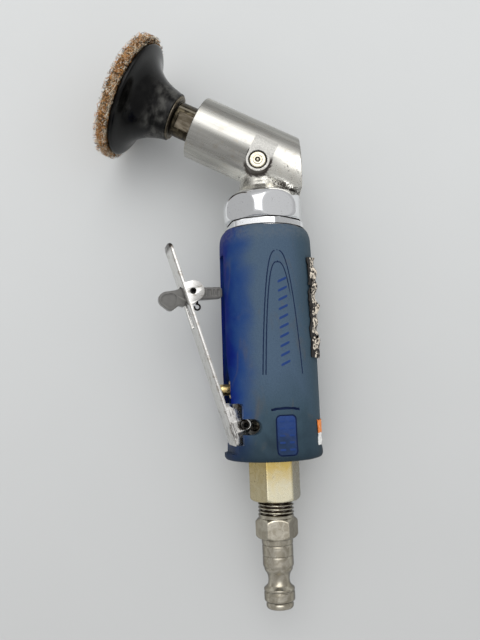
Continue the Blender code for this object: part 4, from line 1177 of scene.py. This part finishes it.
def sleeve_profile():
    lip = SLEEVE_LIP_RADIUS
    outer = [(15.85, SLEEVE_TOP - 0.9, 0.2), (16.3, SLEEVE_TOP + 0.05, 0.4), (17.5, -33.3, 1.2),
             (18.3, -35.6, 1.6), (18.5, -40.0, 3.0), (18.72, -75.0, 5.0), (18.9, -100.0, 5.0),
             (18.75, -112.0, 3.0), (18.85, -117.0, 1.5), (lip, -119.3, 0.7), (lip, -121.0, 0.7),
             (lip - 0.6, -122.0, 0.5), (lip - 2.0, SLEEVE_END, 0.5)]
    inner = [(13.2, SLEEVE_END, 0.3), (13.2, -121.4, 0.1), (SLEEVE_BORE, -121.4, 0.2),
             (SLEEVE_BORE, SLEEVE_TOP - 1.2)]
    points = rounded(outer, steps=5)
    fine = []
    for first, second in zip(points, points[1:]):
        marked = -123.0 < first[1] < -41.0
        fine += divided([first, second], 0.36 if marked else 0.9)[:-1]
    fine.append(points[-1])
    return fine + divided(rounded(inner, steps=3), 6.0)


def sleeve_openings():
    """What is cut out for the lever's foot, its flanges, the valve stem, the latch and the pin."""
    far = 30
    pivot_x, pivot_z = -11.6, -109.3
    pin_axis = turned_frame(shifted(HANDLE, pivot_x, 0, pivot_z), 90, "X")
    return [
        box_cutter((-far, -far, -116.3), (-14.4, far, -100.5), HANDLE, 0.7),
        shelf_cutter(),
        box_cutter((-15.5, -9.3, -116.3), (-9.8, 9.3, -101.2), HANDLE, 0.5),
        box_cutter((-far, -4.3, -102), (-12.5, 4.3, -89.5), HANDLE, 0.8),
        lever_relief(),
        box_cutter((-far, -3.4, -92), (-16.4, 3.4, -42), HANDLE, 0.5),
        box_cutter((-far, -3.0, -68), (-13, 3.0, -44), HANDLE, 0.5),
        rod_cutter(3.0, -far, far, pin_axis),
        box_cutter((-15.2, -far, pivot_z - 3), (pivot_x, far, pivot_z + 3), HANDLE)]


def grip_sleeve():
    bm = lathe_mesh(sleeve_profile(), 0, True, sleeve_shape, sleeve_columns())
    for vert in bm.verts:
        if vert.co.z > -33.6:
            angle = math.atan2(vert.co.y, vert.co.x)
            wave = 0.28 * math.sin(3 * angle + 0.6) * math.sin(5 * angle)
            vert.co.z += wave * (vert.co.z + 33.6) / 1.5
    for face in bm.faces:
        middle = face.calc_center_median()
        outside = middle.y < -8 and math.hypot(middle.x, middle.y) > 17
        if outside and box_distance(middle.x, middle.z, BADGE, 1.6) < 0:
            face.material_index = 1
    sleeve = add("grip_sleeve_rubber", bm, HANDLE, ["blue_rubber", "badge_rubber"], 50.0)
    paint_relief(sleeve)
    combine(sleeve, sleeve_openings())
    finish_piece(sleeve, "housing", "blue_rubber", "grip_sleeve")


def shelf_cutter():
    """Leaves a flat of clean rubber behind the lever's foot."""
    cutter = box_cutter((-30, -30, -119.7), (-16.3, 30, -114.0), HANDLE, 0.2)
    for face in cutter.data.polygons:
        face.material_index = 1
    return cutter


def lever_relief():
    """The hollow the lever's flanges close into: it widens towards the pivot."""
    side = [(3.3, -78.0), (3.9, -84.0), (4.7, -88.5), (6.0, -92.0), (6.3, -102.0)]
    outline = side + [(-y, z) for y, z in side[::-1]]
    return add("cutter", extruded([(-30, y, z) for y, z in outline], (13.9, 0, 0)), HANDLE, "chrome")


def label_point(u, v, span, height, peel, seed):
    """A point of a patch, with its wandering edges and the curl of its loose left side."""
    (start, end), (low, high) = span, height
    place = Vector((u * 9, v * (high - low) / 4, seed))
    wander = noise.noise(place * 0.8) + 0.6 * noise.noise(place * 2.6)
    bearing = start + (end - start) * u + 3.2 * wander * (1 if u < 0.5 else -1)
    lift = max(0.0, 1 - abs(u - 0.22) / 0.24) ** 1.3
    lift *= 0.65 + 1.1 * noise.noise(Vector((seed, v * 9, 1)))
    radius = 19.02 + 0.06 * noise.noise(place * 3) + peel * max(lift, 0.0)
    angle = math.radians(bearing - 90)
    z = low + (high - low) * v + 0.5 * noise.noise(place * 1.7 + Vector((5, 5, 5)))
    return radius * math.cos(angle), radius * math.sin(angle), z


def label(name, span, height, looks, peel, holes, seed):
    """A torn paper patch on the sleeve, between two angles from the upper side. Its left edge has come off
    and is ragged; that edge and parts of the lower edge take the last look, which on the side label is a
    black painted shadow."""
    tall = height[1] - height[0]
    columns, rows = 60, max(12, round(tall / 0.4))
    bm = bmesh.new()
    grid = [[bm.verts.new(label_point(i / columns, j / rows, span, height, peel, seed))
             for j in range(rows + 1)] for i in range(columns + 1)]
    for i in range(columns):
        for j in range(rows):
            u, v = (i + 0.5) / columns, (j + 0.5) / rows
            place = Vector((u * 7, v * tall / 3.2, seed + 4.0))
            torn = noise.noise(place) + 0.5 * noise.noise(place * 2.9)
            rim = min(u, 1 - u, v * 2.5, (1 - v) * 2.5)
            if torn > holes + 1.6 * rim:
                continue
            face = bm.faces.new((grid[i][j], grid[i + 1][j], grid[i + 1][j + 1], grid[i][j + 1]))
            # the loose left edge and ragged parts of the lower edge take the last look: a black painted shadow on
            # the side label
            if u < 0.07 + 0.08 * noise.noise(place * 1.5) or v < 0.09 and torn > -0.1:
                face.material_index = len(looks) - 1
    for vert in [vert for vert in bm.verts if not vert.link_faces]:
        bm.verts.remove(vert)
    patch = add(name, bm, HANDLE, looks, 60.0)
    solidify = patch.modifiers.new("paper", "SOLIDIFY")
    solidify.thickness = 0.22 * MM
    solidify.offset = 1.0
    return bake(patch, 60.0)


def labels():
    side = label("side_label_paper", (42, 112), (-83.9, -44.5), ["worn_label", "painted_edge_shadow"],
                 1.7, 0.30, 3.0)
    finish_piece(side, "housing", "worn_label", "side_label")
    rear = (50, 87)
    front = label("rear_label_front", rear, (-112.6, -108.0), ["orange_label"], 0.3, 0.7, 9.0)
    finish_piece(front, "housing", "orange_label", "rear_label")
    back = label("rear_label_back", rear, (-117.4, -112.7), ["white_label"], 0.3, 0.7, 13.0)
    finish_piece(back, "housing", "orange_label")


# ---- inlet bushing, air plug and exhaust -----------------------------------------------------

def inlet_bushing():
    flats = hexagonal(INLET_FLATS, INLET_TURN, 0.45, -1e9, -122.2)
    outer = [(4.75, -112.2), (6.5, -112.2, 0.3), (6.5, -122.1, 0.05), (9.6, -122.15, 0.05),
             (10.6, -122.9, 0.5), (10.6, INLET_END + 1.4, 0.8), (9.3, INLET_END + 0.35, 0.5),
             (8.5, INLET_END, 0.3), (7.5, INLET_END, 0.2), (7.05, INLET_END + 0.6, 0.2)]
    inner = [(7.05, -129.4), (4.75, -129.4)]
    profile = divided(rounded(outer + inner, ring=True), 0.5, ring=True)
    turned = lathe_mesh(profile, 168, True, flats)
    bushing = add("inlet_bushing_hexagon", turned, MOTOR, "yellow_plate", 45.0)
    finish_piece(bushing, "housing", "brass", "inlet_bushing")


def air_plug():
    """Tapered pipe thread, hexagon, ringed body, locking groove and nose of the hose plug."""
    hexagon = hexagonal(PLUG_FLATS, PLUG_TURN, 0.35, -152.9, -144.9)
    thread_low, thread_high = -144.3, -130.4

    def shape(radius, angle, height):
        if thread_low < height < thread_high and radius > 5:
            turn = (height / THREAD_PITCH + angle / math.tau) % 1.0
            fade = min(1.0, (height - thread_low) / 0.8, (thread_high - height) / 0.8)
            return radius - 0.85 * fade * (0.5 + 0.5 * math.cos(math.tau * turn)) ** 1.3
        return hexagon(radius, angle, height)

    def ring_groove(radius, top, bottom):
        inner = radius - 0.2
        return [(radius, top, 0.1), (inner, top - 0.2, 0.1), (inner, bottom + 0.2, 0.1),
                (radius, bottom, 0.1)]

    thread = divided([(6.4, -130.3), (6.9, -131.0), (7.0, -144.0), (6.85, -144.4), (6.85, -145.0)], 0.16)
    nut = divided(rounded([(6.85, -145.0), (7.2, -145.2, 0.1), (8.55, -146.5, 0.6), (8.55, -151.6, 0.6),
                           (7.3, -152.7, 0.3), (6.15, -152.8, 0.1)]), 0.35)
    body = [(6.15, -152.8), (6.05, -154.9, 0.1), *ring_groove(6.0, -154.9, -155.6)[1:],
            *ring_groove(6.0, -159.1, -159.8), (6.0, -163.0, 0.4), (5.6, -163.7, 0.3), (5.5, -164.6, 0.3)]
    neck = [(4.35, -166.4, 0.8), (4.1, -168.3, 0.6), (4.35, -170.1, 0.8), (5.7, -171.3, 0.2),
            (5.95, -171.5, 0.1)]
    nose = [(5.95, -172.2, 0.1), (5.65, -172.4, 0.1), (5.65, -172.8, 0.1), (5.95, -173.0, 0.1),
            (5.95, -175.9, 0.4), (5.1, -176.5, 0.2), (5.1, -177.0, 0.1), (5.3, -177.3, 0.1),
            (5.3, -178.2, 0.4), (4.9, -178.9, 0.3), (3.3, -178.9, 0.2), (3.0, -178.5, 0.1), (3.0, -176.0)]
    tail = divided(rounded(body + neck + nose), 0.3)
    profile = thread[:-1] + nut[:-1] + tail + [(3.0, -130.3)]
    plug = add("air_plug_body", lathe_mesh(profile, 144, True, shape), MOTOR, "nickel", 40.0)
    finish_piece(plug, "housing", "nickel", "air_plug")


def exhaust_diffuser():
    ring = lathe("exhaust_diffuser_ring", [
        (10.3, -121.0, 0.3), (10.3, -118.3), (15.3, -118.3), (15.3, -121.0, 0.3)][::-1], HANDLE,
        "black_plastic", 96, ring=True)
    holes = [rod_cutter(1.2, -122, -117, shifted(turned_frame(HANDLE, 30 + 60 * i, "Z"), 12.8, 0, 0), 24)
             for i in range(6)]
    combine(ring, holes)
    finish_piece(ring, "housing", "black_plastic", "exhaust_diffuser")


# ---- lever, latch, valve and regulator -------------------------------------------------------

def flange_edge(along):
    """How far out of the pivot line the flange ends, at a place along the lever."""
    if abs(along) < PIVOT_EAR_RADIUS - 0.05:
        return -math.sqrt(PIVOT_EAR_RADIUS ** 2 - along ** 2)
    if abs(along - LATCH_PLACE) < LATCH_EAR_RADIUS:
        return 2.0 - math.sqrt(LATCH_EAR_RADIUS ** 2 - (along - LATCH_PLACE) ** 2)
    if 0 < along < PIVOT_EAR_START:
        rise = 1.0 - ((along - 2.5) / (PIVOT_EAR_START - 2.5)) ** 2
        return FLANGE_EDGE - (FLANGE_EDGE + 1.0) * rise
    if EAR_FOOT < along < 0:
        return -0.65
    if along <= EAR_FOOT:
        return -0.65 + (EAR_FOOT - along) / (EAR_FOOT - LEVER_TAIL) * 2.85
    if along > LEVER_TIP - 2.5:
        return FLANGE_EDGE + 0.6 * ((along - LEVER_TIP + 2.5) / 2.5) ** 2
    return FLANGE_EDGE


def lever_half_width(along):
    """Constant, but for the rounded tip."""
    tip = max(0.0, (along - LEVER_TIP + 2.2) / 2.2)
    return LEVER_HALF_WIDTH - 2.6 * (1 - math.sqrt(max(0.0, 1 - tip * tip)))


def lever_stations():
    """Places along the lever for its cross sections, close together at the ears and the tip."""
    stations = [LEVER_TAIL + 0.4 * i for i in range(38)]
    ear = LATCH_EAR_RADIUS
    past_latch = int((LEVER_TIP - 3 - LATCH_PLACE - ear) / 0.8)
    near_latch = [LATCH_PLACE + ear * math.sin(math.radians(angle)) for angle in range(-88, 89, 8)]
    between = [9.5 + 1.5 * i for i in range(int((LATCH_PLACE - ear - 10.0) / 1.5) + 1)]
    beyond = [LATCH_PLACE + ear + 0.05 + 0.8 * i for i in range(past_latch)]
    tip = [LEVER_TIP - 2.6 + 2.6 * math.sin(math.radians(10 * i)) for i in range(10)]
    return sorted(set(round(s, 4) for s in stations + between + near_latch + beyond + tip))


def throttle_lever():
    """A pressed channel with rounded bends, ears for both pins and a slot for the latch."""
    bm = bmesh.new()
    rows = []
    for along in lever_stations():
        edge = flange_edge(along)
        half = lever_half_width(along)
        bend = min(0.9, (LEVER_WEB - edge) * 0.6)
        section = [(edge, half)]
        for k in range(7):
            angle = math.radians(15 * k)
            section.append((LEVER_WEB - bend + bend * math.sin(angle),
                            half - bend + bend * math.cos(angle)))
        section += [(x, -y) for x, y in section[::-1]]
        rows.append([bm.verts.new((-x, y, along)) for x, y in section])
    for row, following in zip(rows, rows[1:]):
        for i in range(len(row) - 1):
            bm.faces.new((row[i], row[i + 1], following[i + 1], following[i]))
    lever = add("throttle_lever_pressing", bm, LEVER, "lever_steel")
    solidify = lever.modifiers.new("sheet", "SOLIDIFY")
    solidify.thickness = LEVER_SHEET * MM
    solidify.offset = -1.0
    solidify.use_even_offset = True
    bake(lever)
    slot = box_cutter((-12, -2.4, LATCH_PLACE - 13.7), (-3.2, 2.4, LATCH_PLACE + 3.4), LEVER, 0.6)
    holes = [rod_cutter(1.95, -12, 12, LEVER_PIN), rod_cutter(1.25, -12, 12, LATCH_PIN)]
    combine(lever, holes + [slot], solver="EXACT")
    bevelled(lever, 0.14, 2, 50.0)
    finish_piece(lever, "lever", "chrome", "throttle_lever")


def rolled_pin(name, bore, radius, length, at, look):
    half = length / 2
    profile = [(radius, half, 0.25), (radius, -half, 0.25), (bore, -half, 0.1), (bore, half, 0.1)]
    return lathe(name, profile, at, look, 48, ring=True)


def outline_plate(name, outline, thickness, at, look, corner):
    """A flat outline in the frame's XZ plane, given thickness and rounded edges."""
    bm = extruded([(x, -thickness / 2, z) for x, z in outline], (0, thickness, 0))
    return bevelled(add(name, bm, at, look), corner, 4, 50.0)


def latch_outline():
    tip = 12.3
    points = [(tip, 1.4, 0.4), (tip - 0.8, 2.2, 0.4), (3.4, 2.05, 0.8), (1.2, 2.7, 1.0), (-1.6, 2.6, 1.0),
              (-4.9, 1.5, 0.8), (-6.5, 0.95, 0.6), (-10.9, 0.35, 1.2), (-12.5, -0.9, 1.2), (-12.9, -2.7, 1.0),
              (-12.2, -4.4, 1.0), (-9.0, -6.9, 0.6), (-7.7, -7.0, 0.6), (-4.9, -4.9, 0.5), (-3.0, -5.5, 0.4),
              (-1.6, -3.4, 0.8), (3.4, -2.75, 0.8), (tip - 0.8, -2.2, 0.4), (tip, -1.4, 0.4)]
    return rounded(points, ring=True, steps=5)


def safety_latch():
    """The latch's tab has a raised rim, and its arm a sunk panel crossed by ribs, on both sides."""
    latch = outline_plate("safety_latch_moulding", latch_outline(), 4.0, LATCH, "latch_plastic", 0.35)
    cutters = [rod_cutter(1.25, -6, 6, LATCH_PIN)]
    for side in (-1, 1):
        near, far = sorted((side * 1.55, side * 4.0))
        tab = [(-7.6, -0.2), (-10.6, -0.7), (-11.9, -1.9), (-12.1, -3.0), (-11.3, -4.1), (-8.7, -5.9),
               (-7.9, -5.9), (-6.2, -4.7), (-5.9, -1.2)]
        cutters.append(pocket(tab, near, far))
        for left, right in ((3.9, 5.6), (6.1, 8.0), (8.5, 9.6), (10.1, 11.3)):
            cutters.append(box_cutter((left, near, -1.35), (right, far, 1.35), LATCH, 0.25))
    combine(latch, cutters, solver="EXACT")
    finish_piece(latch, "latch", "black_plastic", "safety_latch")
    rivet = rolled_pin("latch_rivet", 0.7, 1.12, 13.4, LATCH_PIN, "black_oxide")
    finish_piece(rivet, "lever", "dark_steel", "latch_pin")


def pocket(outline, near, far):
    """A hollow with rounded corners, to be cut into one side of the latch."""
    points = rounded([(x, z, 0.6) for x, z in outline], ring=True)
    bm = extruded([(x, near, z) for x, z in points], (0, far - near, 0))
    return add("cutter", bm, LATCH, "chrome")


def helix(turns, radius, start, end):
    count = round(turns * 20)
    return [(radius * math.cos(math.tau * turns * i / count),
             radius * math.sin(math.tau * turns * i / count),
             start + (end - start) * i / count) for i in range(count + 1)]


def springs():
    """The latch's torsion spring with its two legs and a hooked end, and the valve's spring."""
    bends = [math.radians(angle) for angle in range(90, -181, -30)]
    hook = [(1.5 + 1.3 * math.cos(bend), -6.0 + 1.3 * math.sin(bend), 3.4 + 0.3 * i)
            for i, bend in enumerate(bends)]
    wire = hook[::-1] + [(2.0, -4.6, 3.0), (1.9, -2.4, 2.8)] + helix(3.0, 1.75, 2.6, 4.9)
    torsion = add("latch_torsion_spring", tubes_mesh([(wire, 0.38, 0)], 10), LATCH_PIN,
                  "black_oxide", 60.0)
    finish_piece(torsion, "lever", "bearing_steel", "latch_spring")
    valve = add("valve_return_spring", tubes_mesh([(helix(4.5, 2.8, -9.0, 2.2), 0.35, 0)], 8), VALVE,
                "bearing_steel", 60.0)
    finish_piece(valve, "housing", "bearing_steel", "valve_spring")


def valve_and_regulator():
    stem = lathe("valve_stem_poppet", [
        (0, 21.5), (1.3, 21.35, 0.3), (1.95, 20.8, 0.3), (2.2, 20.0, 0.3), (2.2, 9.2), (1.6, 8.6),
        (1.6, 5.7), (3.6, 5.7, 0.3), (3.6, 3.2, 0.3), (0, 3.2)], VALVE, "brass", 48)
    finish_piece(stem, "valve", "brass", "valve_stem")
    bushing = lathe("valve_guide_bushing", [
        (3.6, 16.6, 0.3), (3.6, 10.4, 0.2), (2.4, 10.4, 0.1), (2.4, 16.6, 0.2)],
        VALVE, "brass", 48, ring=True)
    finish_piece(bushing, "housing", "brass", "valve_bushing")
    screw = lathe("regulator_screw_body", [
        (0, 5.0), (2.0, 5.0, 0.25), (2.0, -0.7, 0.1), (0, -0.7)], REGULATOR, "nickel", 48)
    combine(screw, [box_cutter((-0.4, -3, 3.9), (0.4, 3, 8), turned_frame(REGULATOR, 75, "Z"))])
    finish_piece(screw, "regulator", "brass", "regulator_screw")
    pin = rolled_pin("lever_roll_pin", 0.95, 1.6, 18.0, LEVER_PIN, "black_oxide")
    finish_piece(pin, "housing", "dark_steel", "lever_pin")


# ---- carried-over CAD nodes ------------------------------------------------------------------

def dress_cad_nodes():
    """Every CAD node that is still shown takes the procedural material of its record slot."""
    slots = {part["node"]: part["material_slot"] for part in frame["record"]["subparts"]}
    for name, obj in frame["nodes"].items():
        look = LOOKS.get(slots[name], LOOKS["bearing_steel"])
        obj.data.materials.clear()
        obj.data.materials.append(look)


# ---- floor, light and camera -----------------------------------------------------------------

# brightness of the room by height, 1 towards CEILING_DIRECTION: (height, brightness)
CEILING_DIRECTION = Vector((-0.01, 0.38, 0.925)).normalized()
SOFT_RAMP = ((0.0, 0.98), (1.0, 1.90), (0.60, 0.98), (0.84, 1.00), (0.935, 1.60))
MIRRORED_RAMP = ((0.0, 0.42), (1.0, 2.50), (0.60, 0.46), (0.84, 0.66), (0.935, 1.85))
LAMP_PLACE, LAMP_TARGET = Vector((-0.10, 0.52, 0.66)), Vector((0, 0.02, 0.02))     # metres
LAMP_SIZE = (0.75, 0.5)
LAMP_COLOUR = (1.0, 0.995, 0.975)
LAMP_POWER = 0.9
FLOOR_TILT = 2.36              # the tool rests on the rim of its disc and on the lip of its sleeve
FLOOR_HALF = 0.9               # metres
CAMERA_PLACE = (-9.181, -95.778, 268.412)      # from the crossing of the axes, in millimetres
CAMERA_TURNS = (("X", 0.105475), ("Y", 0.007504), ("Z", -0.039716))
SENSOR_WIDTH, LENS = 36.0, 37.73


def placed(name, data):
    """A new object in the scene, for a mesh, a lamp or a camera."""
    obj = bpy.data.objects.new(name, data)
    bpy.context.scene.collection.objects.link(obj)
    return obj


def floor():
    bm = bmesh.new()
    bmesh.ops.create_grid(bm, x_segments=60, y_segments=60, size=FLOOR_HALF)
    mesh = bpy.data.meshes.new("floor")
    bm.to_mesh(mesh)
    bm.free()
    sheet = placed("floor", mesh)
    rim = CROSSING.y + (DISC_FACE * math.cos(math.radians(HEAD_ANGLE))) * MM
    sheet.location = (0, rim, -0.0002)
    sheet.rotation_euler = (-math.radians(FLOOR_TILT), 0, 0)
    look = Look("matt_board", (0.575, 0.587, 0.583), roughness=0.85)
    look.coat(look.noise(40.0, 3), (0.595, 0.607, 0.603))
    # painted light falloff: the board darker towards -Y, away from the lamp and the bright ceiling
    look.coat(look.along("Y").ramp(60.0, -330.0) * 0.5, (0.34, 0.34, 0.335))
    look.set("Specular IOR Level", 0.2)
    look.bump(look.noise(0.8, 3), 0.03, 0.05)
    mesh.materials.append(look.done())


def sky_ramp(tree, height, stops):
    """Brightness by height, from the (height, brightness) stops."""
    ramp = tree.nodes.new("ShaderNodeValToRGB")
    tree.links.new(height, ramp.inputs["Fac"])
    elements = ramp.color_ramp.elements
    for i, (position, brightness) in enumerate(stops):
        stop = elements[i] if i < 2 else elements.new(position)
        stop.position = position
        stop.color = (brightness, brightness, brightness * 1.01, 1)
    return ramp.outputs["Color"]


def room():
    """A soft bright ceiling with dimmer walls: the metal's light and dark bands come from these.
    Mirror reflections see a stronger contrast than the floor does."""
    world = bpy.data.worlds.new("room")
    bpy.context.scene.world = world
    world.use_nodes = True
    tree = world.node_tree
    coordinates = tree.nodes.new("ShaderNodeTexCoord")
    height = tree.nodes.new("ShaderNodeVectorMath")
    height.operation = "DOT_PRODUCT"
    height.inputs[1].default_value = CEILING_DIRECTION
    tree.links.new(coordinates.outputs["Generated"], height.inputs[0])
    choice = tree.nodes.new("ShaderNodeMix")
    choice.data_type = "RGBA"
    tree.links.new(tree.nodes.new("ShaderNodeLightPath").outputs["Is Glossy Ray"], choice.inputs[0])
    for socket, stops in ((choice.inputs[6], SOFT_RAMP), (choice.inputs[7], MIRRORED_RAMP)):
        tree.links.new(sky_ramp(tree, height.outputs["Value"], stops), socket)
    background = tree.nodes["Background"]
    tree.links.new(choice.outputs[2], background.inputs["Color"])
    background.inputs["Strength"].default_value = 1.0


def lamp():
    data = bpy.data.lights.new("lamp", "AREA")
    data.shape = "RECTANGLE"
    data.size, data.size_y = LAMP_SIZE
    data.energy = LAMP_POWER
    data.color = LAMP_COLOUR
    made = placed("lamp", data)
    made.location = LAMP_PLACE
    made.rotation_euler = (LAMP_TARGET - LAMP_PLACE).to_track_quat("-Z", "Y").to_euler()


def camera():
    """The photo's view, as fitted to the outlines of disc, head, sleeve and plug."""
    data = bpy.data.cameras.new("camera")
    data.sensor_width = SENSOR_WIDTH
    data.lens = LENS
    eye = placed("camera", data)
    place = Matrix.Translation(CROSSING + Vector(CAMERA_PLACE) * MM)
    for axis, angle in CAMERA_TURNS:
        place = place @ Matrix.Rotation(angle, 4, axis)
    eye.matrix_world = place
    bpy.context.scene.camera = eye
    bpy.context.scene.view_settings.view_transform = "Standard"


# ---- the whole tool --------------------------------------------------------------------------

dress_cad_nodes()
disc_group()
pad_group()
collet_group()
angle_head()
nipple_group()
bearing_cap()
clamp_nut()
motor_housing()
grip_sleeve()
labels()
inlet_bushing()
air_plug()
exhaust_diffuser()
throttle_lever()
safety_latch()
springs()
valve_and_regulator()
floor()
room()
lamp()
camera()
